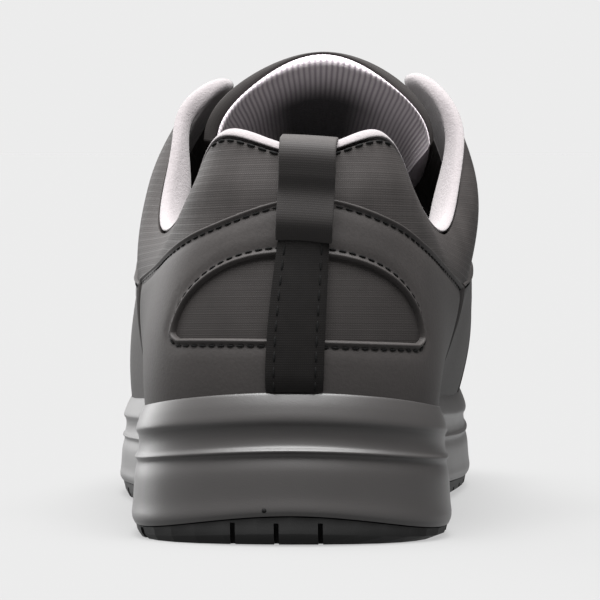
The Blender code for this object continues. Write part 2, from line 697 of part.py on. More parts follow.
def lace_run(first, second, lift):
    """The places of a lace from above one eyelet, over both throat edges, to above another."""
    ends, edges = [], []
    for at in (first, second):
        place, facing = eyelet_place(at)
        ends.append(place + LACE_LIFT * facing)
        edges.append(wall(at, 1.0, OVERLAY + LACE_LIFT))
    middle = (edges[0] + edges[1]) / 2
    middle[2] = max(middle[2], tongue_top(middle[1]) + LACE / 2 + GAP) + lift
    return [ends[0], edges[0], middle, edges[1], ends[1]]


def make_laces(parts, cutters):
    """Runs that cross from row to row and a bar across the lowest row, joined into one solid."""
    runs = [(EYELETS[-1], ROUND - EYELETS[-1], 0.0)]
    for low, high in zip(EYELETS[1:], EYELETS):
        runs.append((low, ROUND - high, 0.0))
        runs.append((ROUND - low, high, LACE_OVER))
    laces = None
    for number, run in enumerate(runs, 1):
        name = "laces" if laces is None else f"lace_run_{number}"
        cord = loft(name, list(cord_rings(lace_run(*run))), "lace", parts if laces is None else cutters)
        if laces is None:
            laces = cord
            continue
        cord.hide_render = True
        cord.display_type = "WIRE"
        join = laces.modifiers.new(name, "BOOLEAN")
        join.operation = "UNION"
        join.object = cord
    return laces


def main():
    for old in list(bpy.data.objects):
        bpy.data.objects.remove(old)
    parts = bpy.data.collections.new("safety_shoe")
    cutters = bpy.data.collections.new("cutters")
    for collection in (parts, cutters):
        bpy.context.scene.collection.children.link(collection)
    make_outsole(parts, cutters)
    make_midsole(parts)
    make_insole(parts)
    make_upper(parts)
    make_cuff(parts)
    make_tongue(parts)
    make_counter(parts)
    make_panel("side_panel_outer", 1, parts)
    make_panel("side_panel_inner", -1, parts)
    make_toe_cap(parts)
    make_eyestay(parts)
    make_strip(parts)
    make_pull_loop(parts)
    for row, at in enumerate(EYELETS, 1):
        make_eyelet(f"eyelet_outer_{row}", at, parts)
        make_eyelet(f"eyelet_inner_{row}", ROUND - at, parts)
    make_laces(parts, cutters)


main()
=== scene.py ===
"""The looks of a low safety shoe for the left foot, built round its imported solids."""

import math
from collections import namedtuple

import bpy
import numpy as np
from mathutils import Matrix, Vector


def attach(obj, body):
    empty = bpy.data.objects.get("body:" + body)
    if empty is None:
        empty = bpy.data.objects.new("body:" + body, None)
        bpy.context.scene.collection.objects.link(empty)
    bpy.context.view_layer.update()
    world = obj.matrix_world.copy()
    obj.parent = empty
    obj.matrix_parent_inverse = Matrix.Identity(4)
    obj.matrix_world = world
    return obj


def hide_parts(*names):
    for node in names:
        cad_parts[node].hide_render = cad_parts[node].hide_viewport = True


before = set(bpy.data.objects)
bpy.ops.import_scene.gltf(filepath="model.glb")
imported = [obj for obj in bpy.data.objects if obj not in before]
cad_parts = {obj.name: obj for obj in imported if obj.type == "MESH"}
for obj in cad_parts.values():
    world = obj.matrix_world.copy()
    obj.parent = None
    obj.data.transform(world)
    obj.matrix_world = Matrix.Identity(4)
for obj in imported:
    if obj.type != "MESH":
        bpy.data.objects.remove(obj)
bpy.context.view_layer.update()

MM = 0.001

# Driving sizes of the last and the sole, in millimetres, as in the part's source
LENGTH = 300.0
BALL_WIDTH = 104.0
INSTEP_HEIGHT = 122.0
HEEL_RISE = 40.0
AXIS_SHIFT = 5.7
UPPER_WALL = 2.2
UPPER_INSET = 5.0
# Samples along a rib's wall, and a small step between ribs
LENGTH_SAMPLES = 60
RIB_STEP = 0.01

# One row for each rib of the upper, from the back of the heel round the outer side to the toe and back.
# Shares in % of the driving sizes, swellings in mm and in shares of the wall's height.
Rib = namedtuple(
    "Rib",
    "name along side rim part floor edge_along edge_side edge_up belly_out belly_up brow_out brow_drop",
)
RIBS = (
    Rib("heel_back", 0.0, 0.0, 100.0, 20.0, 67.5, 4.5, 3.5, 82.8, 1.5, 0.38, 4.0, 0.32),
    Rib("heel_corner_outer", 4.2, -31.5, 93.8, 11.5, 66.0, 7.5, -17.8, 86.6, 1.5, 0.38, 3.5, 0.30),
    Rib("heel_side_outer", 14.0, -42.7, 86.2, 9.5, 63.8, 15.0, -27.8, 73.5, 2.0, 0.40, 7.0, 0.30),
    Rib("waist_outer", 30.7, -43.4, 82.5, 15.0, 60.0, 27.7, -37.0, 68.5, 4.0, 0.42, 9.5, 0.30),
    Rib("midfoot_outer", 47.3, -48.7, 77.5, 14.0, 53.8, 38.7, -26.4, 98.5, 3.5, 0.38, 20.0, 0.28),
    Rib("ball_outer", 64.0, -57.0, 72.5, 11.5, 47.5, 50.0, -20.2, 86.1, 3.0, 0.36, 24.0, 0.26),
    Rib("toe_side_outer", 80.0, -52.4, 77.5, 15.0, 48.8, 58.7, -15.9, 75.8, 4.0, 0.50, 26.0, 0.27),
    Rib("toe_corner_outer", 93.7, -32.7, 87.5, 25.0, 55.0, 63.3, -10.0, 70.9, 4.5, 0.62, 44.0, 0.36),
    Rib("toe_tip", 100.0, 2.1, 95.0, 34.0, 59.0, 65.0, 1.5, 69.3, 4.0, 0.64, 52.0, 0.40),
    Rib("toe_corner_inner", 95.3, 31.2, 88.8, 26.0, 55.0, 63.3, 12.5, 70.9, 4.5, 0.62, 44.0, 0.36),
    Rib("toe_side_inner", 83.3, 42.5, 78.8, 15.5, 48.8, 58.7, 17.8, 75.8, 4.0, 0.50, 26.0, 0.27),
    Rib("ball_inner", 69.3, 43.1, 72.5, 11.5, 47.5, 50.0, 22.1, 86.1, 10.0, 0.38, 22.0, 0.26),
    Rib("midfoot_inner", 50.7, 38.6, 78.8, 16.0, 53.8, 38.7, 32.4, 99.5, 10.5, 0.40, 15.0, 0.28),
    Rib("waist_inner", 32.7, 36.5, 84.5, 17.0, 60.0, 27.7, 38.9, 68.5, 8.0, 0.42, 8.0, 0.30),
    Rib("heel_side_inner", 14.3, 40.2, 86.2, 9.5, 63.8, 15.0, 31.1, 73.5, 2.5, 0.40, 7.0, 0.30),
    Rib("heel_corner_inner", 4.2, 30.5, 93.8, 11.5, 66.0, 7.5, 22.6, 86.4, 1.5, 0.38, 3.5, 0.30),
)
ROUND = len(RIBS)

# The wings of the collar stand out between two ribs: rib position, spread in ribs, and mm across.
# The first two are the solids' own, and the others turn the soft edge out a little further.
Wing = namedtuple("Wing", "at spread across")
WINGS = (Wing(12.5, 0.55, 3.2), Wing(3.4, 0.6, -2.2), Wing(3.78, 0.30, -2.0), Wing(12.36, 0.34, 1.8))


# The last's curves

def column(name):
    return np.array([getattr(rib, name) for rib in RIBS])


def closed_curve(values, at):
    """The smooth closed curve through values given at whole positions, read at any positions."""
    size = len(values)
    spread = (4 * np.eye(size) + np.roll(np.eye(size), 1, 0) + np.roll(np.eye(size), -1, 0)) / 6
    knots = np.linalg.solve(spread, values)
    at = np.asarray(at, float)
    low = np.floor(at).astype(int)
    part = at - low
    weights = (
        (1 - part) ** 3,
        3 * part**3 - 6 * part**2 + 4,
        -3 * part**3 + 3 * part**2 + 3 * part + 1,
        part**3,
    )
    return sum(weight * knots[(low + i - 1) % size] for i, weight in enumerate(weights)) / 6


def open_curve(places, values, at):
    """The smooth curve through values given at rising places."""
    places, values = np.asarray(places, float), np.asarray(values, float)
    slope = np.gradient(values, places)
    at = np.clip(np.asarray(at, float), places[0], places[-1])
    i = np.clip(np.searchsorted(places, at) - 1, 0, len(places) - 2)
    span = places[i + 1] - places[i]
    f = (at - places[i]) / span
    ease = f * f * (3 - 2 * f)
    return (values[i] * (1 - ease) + values[i + 1] * ease
            + span * (slope[i] * f * (1 - f) ** 2 - slope[i + 1] * f * f * (1 - f)))


def row_curve(table, name, at):
    """The smooth curve through one column of a table, by its first column."""
    return open_curve([row[0] for row in table], [getattr(row, name) for row in table], at)


def station_curve(table, name, at):
    """The smooth curve through one column of a table, by the numbers of its rows."""
    return open_curve(np.arange(len(table)), [getattr(row, name) for row in table], at)


def outline(at):
    across = closed_curve(column("side"), at) * BALL_WIDTH / 100 + AXIS_SHIFT
    along = closed_curve(column("along"), at) * LENGTH / 100 - LENGTH / 2
    return np.stack([across, along], -1)


def unit(vectors):
    return vectors / np.linalg.norm(vectors, axis=-1, keepdims=True)


def outward(at):
    ahead = outline(np.asarray(at) + RIB_STEP) - outline(np.asarray(at) - RIB_STEP)
    return unit(np.stack([-ahead[..., 1], ahead[..., 0]], -1))


def sole_height(name, at):
    return closed_curve(column(name), at) * HEEL_RISE / 100


def swellings(wings, at):
    """The sum of soft swellings, each about its own position."""
    return sum(wing.across * np.exp(-(((at - wing.at) / wing.spread) ** 2)) for wing in wings)


def handles(at):
    """The four points that shape each rib's wall from the rim to the edge."""
    rim = sole_height("rim", at)
    edge = np.stack([
        closed_curve(column("edge_side"), at) * BALL_WIDTH / 100 + AXIS_SHIFT,
        closed_curve(column("edge_along"), at) * LENGTH / 100 - LENGTH / 2,
        closed_curve(column("edge_up"), at) * INSTEP_HEIGHT / 100,
    ], -1)
    edge[..., 0] += swellings(WINGS, np.asarray(at) % ROUND)
    out = np.concatenate([outward(at), np.zeros_like(rim)[..., None]], -1)
    up = np.zeros_like(out)
    up[..., 2] = edge[..., 2] - rim
    foot = np.concatenate([outline(at), rim[..., None]], -1) - UPPER_INSET * out

    def swell(base, out_name, up_name, sign):
        return (base + closed_curve(column(out_name), at)[..., None] * out
                + sign * closed_curve(column(up_name), at)[..., None] * up)

    return foot, swell(foot, "belly_out", "belly_up", 1), swell(edge, "brow_out", "brow_drop", -1), edge


def along_wall(points, t):
    a, b, c, d = points
    t = t[..., None]
    return a * (1 - t) ** 3 + 3 * b * t * (1 - t) ** 2 + 3 * c * t**2 * (1 - t) + d * t**3


def wall_slope(points, t):
    a, b, c, d = points
    t = t[..., None]
    return 3 * (b - a) * (1 - t) ** 2 + 6 * (c - b) * t * (1 - t) + 3 * (d - c) * t**2


def rib_lengths(at):
    """Each rib's height inside the cup, and the lengths and points along its wall at even steps."""
    at = np.asarray(at, float)
    points = [p[:, None, :] for p in handles(at)]
    line = along_wall(points, np.broadcast_to(np.linspace(0, 1, LENGTH_SAMPLES), (len(at), LENGTH_SAMPLES)))
    run = np.linalg.norm(np.diff(line, axis=1), axis=-1)
    lengths = np.concatenate([np.zeros((len(at), 1)), np.cumsum(run, 1)], 1)
    return sole_height("rim", at) - sole_height("floor", at), lengths, line


def full_length(at):
    cup, lengths, _ = rib_lengths(at)
    return cup + lengths[:, -1]


def wall(at, share, off=0.0):
    """Points of the upper's outer face at rib positions, moved outwards.

    The last axis of share is the ribs'.
    """
    at = np.asarray(at, float)
    share, _ = np.broadcast_arrays(share, at)
    off = np.broadcast_to(off, share.shape)
    cup, lengths, _ = rib_lengths(at)
    distance = share * (cup + lengths[:, -1]) - cup
    even = np.linspace(0, 1, LENGTH_SAMPLES)
    t = np.stack([np.interp(distance[..., i], lengths[i], even) for i in range(len(at))], -1)
    points = handles(at)
    place = along_wall(points, t)
    sideways = along_wall(handles(at + RIB_STEP), t) - along_wall(handles(at - RIB_STEP), t)
    normal = unit(np.cross(wall_slope(points, t), sideways))
    inside = distance < 0
    place[..., 2] = np.where(inside, sole_height("rim", at) + distance, place[..., 2])
    level = np.concatenate([outward(at), np.zeros((len(at), 1))], -1)
    normal = np.where(inside[..., None], level, normal)
    return place + off[..., None] * normal


def share_where(at, rise):
    """The share of each rib at which rise, which grows along the wall, passes 0."""
    cup, lengths, line = rib_lengths(at)
    level = rise(line)
    found = np.array([np.interp(0, level[i], lengths[i]) for i in range(len(cup))])
    return (cup + found) / (cup + lengths[:, -1])


def share_at_height(at, height):
    height = np.broadcast_to(height, np.shape(at))
    return share_where(at, lambda line: line[..., 2] - height[:, None])


def share_from_edge(at, distance):
    return 1 - distance / full_length(at)


def rim_share(at, below=0.0):
    """Each rib's share at the midsole's rim, or this far below it."""
    return share_at_height(at, sole_height("rim", at) - below)


# Mesh tools

def deselect():
    if bpy.context.object and bpy.context.object.mode != "OBJECT":
        bpy.ops.object.mode_set(mode="OBJECT")
    bpy.ops.object.select_all(action="DESELECT")


def select_only(piece):
    deselect()
    piece.select_set(True)
    bpy.context.view_layer.objects.active = piece


def add(name, primitive, **settings):
    """A primitive by its operator, named, with nothing else selected."""
    deselect()
    primitive(**settings)
    piece = bpy.context.object
    piece.name = name
    return piece


def apply_modifier(piece, kind, **settings):
    select_only(piece)
    modifier = piece.modifiers.new(kind.lower(), kind)
    for name, value in settings.items():
        setattr(modifier, name, value)
    bpy.ops.object.modifier_apply(modifier=modifier.name)


def edit(piece, *steps):
    """Runs edit-mode operators on the whole of a piece's mesh."""
    select_only(piece)
    bpy.ops.object.mode_set(mode="EDIT")
    bpy.ops.mesh.select_all(action="SELECT")
    for operator, settings in steps:
        operator(**settings)
    bpy.ops.object.mode_set(mode="OBJECT")


def sheet(name, points, measure=None, drop=None):
    """A grid primitive with its corners moved to points in rows and columns; columns run round the shoe.

    measure holds the UV map's lengths in millimetres.
    drop holds the faces, by row and column, that are left out.
    """
    rows, columns = points.shape[:2]
    piece = add(name, bpy.ops.mesh.primitive_grid_add,
                x_subdivisions=columns - 1, y_subdivisions=rows - 1, size=1)
    mesh = piece.data
    turned = points[:, ::-1].reshape(-1, 3) * MM
    mesh.vertices.foreach_set("co", turned.reshape(-1))
    if measure is not None:
        corner = np.empty(len(mesh.loops), np.int32)
        mesh.loops.foreach_get("vertex_index", corner)
        lengths = measure[:, ::-1].reshape(-1, 2)[corner] * MM
        mesh.uv_layers[0].data.foreach_set("uv", lengths.reshape(-1))
    mesh.update()
    if drop is not None:
        bpy.ops.object.mode_set(mode="EDIT")
        bpy.ops.mesh.select_mode(type="FACE")
        bpy.ops.mesh.select_all(action="DESELECT")
        bpy.ops.object.mode_set(mode="OBJECT")
        mesh.polygons.foreach_set("select", drop[:, ::-1].reshape(-1))
        bpy.ops.object.mode_set(mode="EDIT")
        bpy.ops.mesh.delete(type="FACE")
        bpy.ops.object.mode_set(mode="OBJECT")
    return piece


# Points this close together, in mm, are one
SEAM_MERGE = 0.02


def close_seams(piece):
    edit(piece, (bpy.ops.mesh.remove_doubles, {"threshold": SEAM_MERGE * MM}))


def close_form(piece):
    """Closes a form's seams and turns its faces outwards."""
    close_seams(piece)
    edit(piece, (bpy.ops.mesh.normals_make_consistent, {"inside": False}))
    return piece


def zip_ring(ring):
    """A ring folded onto its own middle line, which closes the end of a loft."""
    return (ring + np.roll(ring[::-1], 1, 0)) / 2


def loft(name, rings):
    """A closed form through rings of points, each end zipped shut."""
    points = np.stack([zip_ring(rings[0]), *rings, zip_ring(rings[-1])])
    points = np.concatenate([points, points[:, :1]], 1)
    return close_form(sheet(name, points, lengths_of(points)))


def run_along(line):
    """The length along a line of points, at each point."""
    return np.concatenate([[0], np.cumsum(np.linalg.norm(np.diff(line, axis=0), axis=-1))])


def lengths_of(points):
    """Lengths along the middle row and up each column of a grid, in millimetres."""
    along = run_along(points[len(points) // 2])
    up = np.cumsum(np.linalg.norm(np.diff(points, axis=0), axis=-1), 0)
    up = np.concatenate([np.zeros((1, points.shape[1])), up])
    return np.stack([np.broadcast_to(along, up.shape), up], -1)


def thicken(piece, thickness, offset=-1.0, even=True):
    apply_modifier(piece, "SOLIDIFY", thickness=thickness * MM, offset=offset, use_even_offset=even)


def keep(piece, material, slot, *nodes, angle=None):
    """Finishes a piece: its material, shading, body and the nodes that it stands for; slot is not used."""
    piece.data.materials.clear()
    piece.data.materials.append(material)
    select_only(piece)
    if angle is None:
        bpy.ops.object.shade_smooth()
    else:
        bpy.ops.object.shade_smooth_by_angle(angle=math.radians(angle))
    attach(piece, "root")
    if nodes:
        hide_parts(*nodes)
    return piece


def path_curve(name, places):
    """A curve through places in millimetres, for a row of stitches to follow."""
    curve = bpy.data.curves.new(name, "CURVE")
    curve.dimensions = "3D"
    line = curve.splines.new("POLY")
    line.points.add(len(places) - 1)
    flat = np.concatenate([np.asarray(places) * MM, np.ones((len(places), 1))], 1)
    line.points.foreach_set("co", flat.reshape(-1))
    path = bpy.data.objects.new(name, curve)
    bpy.context.scene.collection.objects.link(path)
    return path


# A usual seam's stitches, in mm
STITCH_LENGTH = 2.1
STITCH_PITCH = 2.8
THREAD = 0.62


def stitch_row(name, places, slot, pitch=STITCH_PITCH, length=STITCH_LENGTH, thread=THREAD):
    """One rounded stitch, repeated along places on the surface."""
    path = path_curve(name + "_path", places)
    row = add(name, bpy.ops.mesh.primitive_uv_sphere_add, segments=8, ring_count=5, radius=thread / 2 * MM)
    centre = {"center_override": (0, 0, 0)}
    edit(row, (bpy.ops.transform.rotate, {"value": math.pi / 2, "orient_axis": "Y", **centre}),
         (bpy.ops.transform.resize, {"value": (length / thread, 1, 1), **centre}),
         (bpy.ops.transform.translate, {"value": (length / 2 * MM, 0, 0)}))
    apply_modifier(row, "ARRAY", fit_type="FIT_CURVE", curve=path, use_relative_offset=False,
                   use_constant_offset=True, constant_offset_displace=(pitch * MM, 0, 0))
    apply_modifier(row, "CURVE", object=path, deform_axis="POS_X")
    bpy.data.objects.remove(path)
    return keep(row, THREAD_BLACK, slot)


# Shader tools

class Value:
    """A socket that carries a number: arithmetic on it adds Math nodes to its finish."""

    def __init__(self, finish, socket):
        self.finish = finish
        self.socket = socket

    def math(self, operation, *others):
        return self.finish.node("ShaderNodeMath", {"operation": operation},
                                dict(enumerate((self, *others))), "Value")

    def __add__(self, other):
        return self.math("ADD", other)

    def __sub__(self, other):
        return self.math("SUBTRACT", other)

    def __rsub__(self, other):
        return self.finish.node("ShaderNodeMath", {"operation": "SUBTRACT"}, {0: other, 1: self}, "Value")

    def __mul__(self, other):
        return self.math("MULTIPLY", other)

    def __pow__(self, other):
        return self.math("POWER", other)

    __radd__ = __add__
    __rmul__ = __mul__


class Nodes:
    """A node tree that grows one node at a time."""

    def __init__(self, tree):
        self.tree = tree

    def node(self, kind, settings=None, sockets=None, output=0):
        made = self.tree.nodes.new(kind)
        for name, value in (settings or {}).items():
            setattr(made, name, value)
        for name, value in (sockets or {}).items():
            if isinstance(value, Value):
                self.tree.links.new(value.socket, made.inputs[name])
            else:
                made.inputs[name].default_value = value
        return Value(self, made.outputs[output])

    def split(self, vector):
        return [self.node("ShaderNodeSeparateXYZ", None, {0: vector}, axis) for axis in "XYZ"]

    def ease(self, value, low, high):
        """A smooth step from 0 at low to 1 at high."""
        return self.node("ShaderNodeMapRange", {"interpolation_type": "SMOOTHSTEP"},
                         {"Value": value, "From Min": low, "From Max": high}, "Result")


class Finish(Nodes):
    """A material: a Principled shader and the nodes that feed it."""

    def __init__(self, name, **sockets):
        self.material = bpy.data.materials.new(name)
        self.material.use_nodes = True
        super().__init__(self.material.node_tree)
        self.shader = self.tree.nodes["Principled BSDF"]
        for socket in self.shader.inputs:
            name = socket.name.lower().replace(" ", "_")
            if name in sockets:
                socket.default_value = sockets[name]

    def feed(self, socket, value):
        self.tree.links.new(value.socket, self.shader.inputs[socket])

    def mix(self, mask, low, high):
        """A colour between two, by a mask; the Mix node's colours go by number."""
        sockets = {"Factor": mask, 6: low if isinstance(low, Value) else (*low, 1), 7: (*high, 1)}
        return self.node("ShaderNodeMix", {"data_type": "RGBA"}, sockets, 2)

    def colours(self, mask, low, high):
        self.feed("Base Color", self.mix(mask, low, high))

    def bump(self, height, distance, strength=1.0):
        bumped = self.node("ShaderNodeBump", None,
                           {"Height": height, "Distance": distance * MM, "Strength": strength}, "Normal")
        self.feed("Normal", bumped)

    def noise(self, size, detail=3.0):
        """Noise whose lumps are about size millimetres across."""
        place = self.node("ShaderNodeTexCoord", None, None, "Object")
        sockets = {"Vector": place, "Scale": 1 / (size * MM), "Detail": detail}
        return self.node("ShaderNodeTexNoise", None, sockets)

    def across_and_up(self):
        """The piece's own UV lengths in millimetres."""
        across, up, _ = self.split(self.node("ShaderNodeUVMap"))
        return across * (1 / MM), up * (1 / MM)

    def wave(self, length, pitch):
        """A smooth wave from 0 to 1 along a length."""
        return (length * (2 * math.pi / pitch)).math("SINE") * 0.5 + 0.5

    def line(self, length, pitch, sharp):
        """Thin lines at a pitch: 1 on a line and 0 between."""
        return self.wave(length, pitch) ** sharp


# Pitches of yarns and raised lines, and the lengths up the cloth over which its painted shade fades, in mm
YARN_PITCH = 0.62
RIPSTOP_ACROSS = 2.9
RIPSTOP_UP = 2.2
RIPSTOP_SHADE_FADE = (34.0, 60.0)


def ripstop_finish(name, low, high):
    """Fine plain weave with raised lines across and up, and painted shade that darkens it away from the
    collar.
    """
    finish = Finish(name, specular_ior_level=0.08)
    across, up = finish.across_and_up()
    yarn = finish.wave(across, YARN_PITCH) * finish.wave(up, YARN_PITCH)
    ridge = finish.line(across, RIPSTOP_ACROSS, 10.0) * 0.35 + finish.line(up, RIPSTOP_UP, 8.0)
    cloud = finish.noise(9.0)
    # Painted shade: the cloth is darker low down and paler towards the collar.
    painted_shade = 0.4 + finish.ease(up, *RIPSTOP_SHADE_FADE) * 0.6
    finish.colours((yarn * 0.25 + ridge * 0.07 + cloud * 0.5).math("MINIMUM", 1.0) * painted_shade, low, high)
    finish.bump(yarn * 0.35 + ridge * 0.15 + finish.noise(0.5) * 0.15, 0.09)
    finish.feed("Roughness", 0.6 - ridge * 0.08 + cloud * 0.08)
    return finish.material


# Lengths up the film over which the painted shade along its lower edge fades out, in mm
FILM_SHADE_FADE = (0.0, 14.0)


def film_finish(name, low, high, roughness):
    """Coated film with a fine grain, and painted shade that darkens it along its lower edge."""
    finish = Finish(name, specular_ior_level=0.12)
    grain = finish.noise(0.9, 4.0)
    cloud = finish.noise(24.0, 2.0)
    _, up = finish.across_and_up()
    # Painted shade: the film is darker along its lower edge.
    painted_shade = 0.65 + finish.ease(up, *FILM_SHADE_FADE) * 0.35
    finish.colours((grain * 0.4 + cloud * 0.6) * painted_shade, low, high)
    finish.bump(grain, 0.06)
    finish.feed("Roughness", roughness + grain * 0.12 + cloud * 0.08)
    return finish.material


# Pitches along and across the tape, in mm
TAPE_RIB = 0.62
TAPE_WARP = 0.5


def webbing_finish(name, low, high, painted_deep_shade=None):
    """Ribbed tape; its last argument gives the colour of painted shade low on the tape, and the lengths up
    the tape between which it fades out.
    """
    finish = Finish(name, specular_ior_level=0.05)
    across, up = finish.across_and_up()
    rib = finish.wave(up, TAPE_RIB)
    warp = finish.wave(across + rib * 0.25, TAPE_WARP)
    tape = finish.mix(rib * 0.25 + warp * 0.25 + finish.noise(3.0) * 0.5, low, high)
    # Painted shade: a darker colour low on the tape.
    if painted_deep_shade:
        colour, dark_to, fades_by = painted_deep_shade
        tape = finish.mix(1 - finish.ease(up, dark_to, fades_by), tape, colour)
    finish.feed("Base Color", tape)
    finish.bump(rib * 0.3 + warp * 0.3, 0.06)
    finish.feed("Roughness", 0.66 - rib * 0.14)
    return finish.material


def lining_finish(name, low, high, grooves=None, painted_deep_shade=None):
    """Soft cloth with a nap.

    grooves gives the colour of painted shade in the grooves between its ribs, and their pitch across; the
    last argument gives the colour of painted shade deeper inside, the lengths up the cloth between which it
    comes in, and the place across at which it is darkest and its spread from there.
    """
    finish = Finish(name, sheen_weight=0.1, sheen_roughness=0.6, specular_ior_level=0.1)
    nap = finish.noise(0.55, 4.0)
    knit = finish.noise(1.6, 2.0)
    cloth = finish.mix(nap * 0.6 + knit * 0.4, low, high)
    across, up = finish.across_and_up()
    # Painted shade: a darker colour in the grooves between the ribs.
    if grooves:
        colour, pitch = grooves
        cloth = finish.mix(finish.line(across + pitch / 4, pitch, 1.5), cloth, colour)
    # Painted shade: a darker colour deeper inside the tongue, strongest at its middle across.
    if painted_deep_shade:
        colour, near_end, far_end, middle, spread = painted_deep_shade
        aside = finish.ease((across - middle).math("ABSOLUTE"), spread * 0.3, spread)
        cloth = finish.mix((1 - finish.ease(up, far_end, near_end)) * (1 - 0.8 * aside), cloth, colour)
    finish.feed("Base Color", cloth)
    finish.bump(nap * 0.6 + knit * 0.4, 0.25)
    finish.feed("Roughness", 0.86 + nap * 0.1)
    return finish.material


def foam_finish(name, low, high):
    """Moulded foam with a satin skin."""
    finish = Finish(name, specular_ior_level=0.34)
    skin = finish.noise(0.35, 2.0)
    cloud = finish.noise(30.0, 2.0)
    finish.colours(cloud * 0.7 + skin * 0.3, low, high)
    finish.bump(skin, 0.02)
    finish.feed("Roughness", 0.34 + cloud * 0.08 + skin * 0.05)
    return finish.material


# Heights over which the rubber's painted shade near the ground fades out, in mm
RUBBER_SHADE_FADE = (1.5, 5.0)


def rubber_finish(name, low, high):
    """Dull rubber, with painted shade that darkens it near the ground."""
    finish = Finish(name, specular_ior_level=0.12)
    skin = finish.noise(0.5, 3.0)
    dust = finish.noise(14.0, 3.0)
    _, _, height = finish.split(finish.node("ShaderNodeTexCoord", None, None, "Object"))
    # Painted shade: the rubber is darker near the ground.
    finish.colours(dust * 0.4 + finish.ease(height * (1 / MM), *RUBBER_SHADE_FADE) * 0.6, low, high)
    finish.bump(skin, 0.06)
    finish.feed("Roughness", 0.5 + dust * 0.15)
    return finish.material


def thread_finish(name, low, high):
    finish = Finish(name, roughness=0.7, specular_ior_level=0.03)
    twist = finish.noise(0.4, 2.0)
    finish.colours(twist, low, high)
    finish.bump(twist, 0.08)
    return finish.material


def grey(value, warm=1.0):
    """A near-neutral colour; warm raises its red, and lowers its blue a little."""
    return value * warm, value, value / warm**0.3


RIPSTOP = ripstop_finish("ripstop_cloth", grey(0.014, 1.10), grey(0.044, 1.10))
FILM = film_finish("coated_film", grey(0.013, 1.10), grey(0.033, 1.10), 0.50)
WEBBING = webbing_finish("woven_tape", grey(0.003, 1.08), grey(0.008, 1.08))
# The loop's tape is darkened low down by painted shade under its own fold.
LOOP_WEBBING = webbing_finish("woven_loop", grey(0.024, 1.07), grey(0.044, 1.07),
                              (grey(0.020, 1.07), 24.5, 29.5))
LINING = lining_finish("padded_lining", (0.116, 0.106, 0.108), (0.187, 0.172, 0.175))
RIB_PITCH = 1.5
# The tongue's ribbed lining: painted shade in the grooves between its ribs and deeper inside the tongue.
RIBBED = lining_finish("ribbed_lining", (0.42, 0.385, 0.402), (0.56, 0.513, 0.53),
                       ((0.27, 0.235, 0.262), RIB_PITCH), ((0.022, 0.020, 0.022), -4.0, -18.0, 40.0, 26.0))
FOAM = foam_finish("midsole_foam", grey(0.022, 1.06), grey(0.029, 1.06))
RUBBER = rubber_finish("outsole_rubber", grey(0.004), grey(0.025))
THREAD_BLACK = thread_finish("sewing_thread", grey(0.004), grey(0.008))
CORD = thread_finish("lace_cord", grey(0.012), grey(0.03))
RING = film_finish("eyelet_ring", grey(0.03), grey(0.045), 0.30)
FOOTBED = lining_finish("footbed_cloth", grey(0.020), grey(0.040))


# The upper

UPPER_COLUMNS = 384
UPPER_ROWS = 72
# The collar's padding: the rib position where half of it is left, its fade there, and its sizes in mm
COLLAR_HALF = 3.5
COLLAR_FADE = 9.0
COLLAR_SWELL = 1.3
COLLAR_DROP = 12.0
COLLAR_SPREAD = 8.0
# The cloth's slack, which dies out this near to its edge
SLACK = 0.25
SLACK_FROM = 12.0


def near(value, middle, width):
    """A soft bump of height 1 round a middle."""
    return np.exp(-(((value - middle) / width) ** 2))


def side_of(at):
    """Rib positions counted both ways from the back of the heel: positive on the outer side."""
    return (np.asarray(at, float) + ROUND / 2) % ROUND - ROUND / 2


# Flex creases across the vamp: place along the shoe, depth, width and lean
Crease = namedtuple("Crease", "along depth width lean")
CREASES = (
    Crease(206.0, 0.55, 2.6, 0.10),
    Crease(214.5, 0.75, 3.0, -0.06),
    Crease(223.0, 0.45, 2.6, 0.05),
)
CREASE_REACH = 38.0
# The ridge beside a crease: its share of the depth, and how far ahead it lies in widths
CREASE_RIDGE = 0.6
CREASE_AHEAD = 1.6


def upper_swell(at, share):
    """How far the cloth stands off its smooth wall: padding under the collar, flex creases, slack."""
    below = (1 - share) * full_length(at)
    collar = 1 / (1 + np.exp((np.abs(side_of(at)) - COLLAR_HALF) * COLLAR_FADE))
    swell = COLLAR_SWELL * near(below, COLLAR_DROP, COLLAR_SPREAD) * collar
    flat = wall(at, share)
    across, along, up = flat[..., 0] - AXIS_SHIFT, flat[..., 1] + LENGTH / 2, flat[..., 2]
    fade = near(across, 0.0, CREASE_REACH) * (up > HEEL_RISE)
    for crease in CREASES:
        bent = along - crease.along - crease.lean * across
        ridge = near(bent, crease.width * CREASE_AHEAD, crease.width)
        trough = near(bent, 0.0, crease.width)
        swell += crease.depth * fade * (CREASE_RIDGE * ridge - trough)
    slack = np.sin(along / 17.0 + up / 11.0) * np.sin(up / 19.0 - along / 31.0)
    return swell + SLACK * slack * np.clip(below / SLACK_FROM, 0, 1)


def make_upper():
    at = np.linspace(0, ROUND, UPPER_COLUMNS + 1)
    rim = rim_share(at)
    above_rim = rim + (1 - rim) * np.linspace(0, 1, UPPER_ROWS)[:, None]
    share = np.concatenate([np.zeros((1, len(at))), rim[None] * 0.5, above_rim])
    points = wall(at, share, upper_swell(at, share))
    upper = sheet("upper_cloth", points, lengths_of(wall(at, share)))
    close_seams(upper)
    thicken(upper, UPPER_WALL)
    return keep(upper, RIPSTOP, "upper_ripstop", "upper", angle=50)


# Overlays of coated film, each with a rolled lip and a sewn channel along its free edges

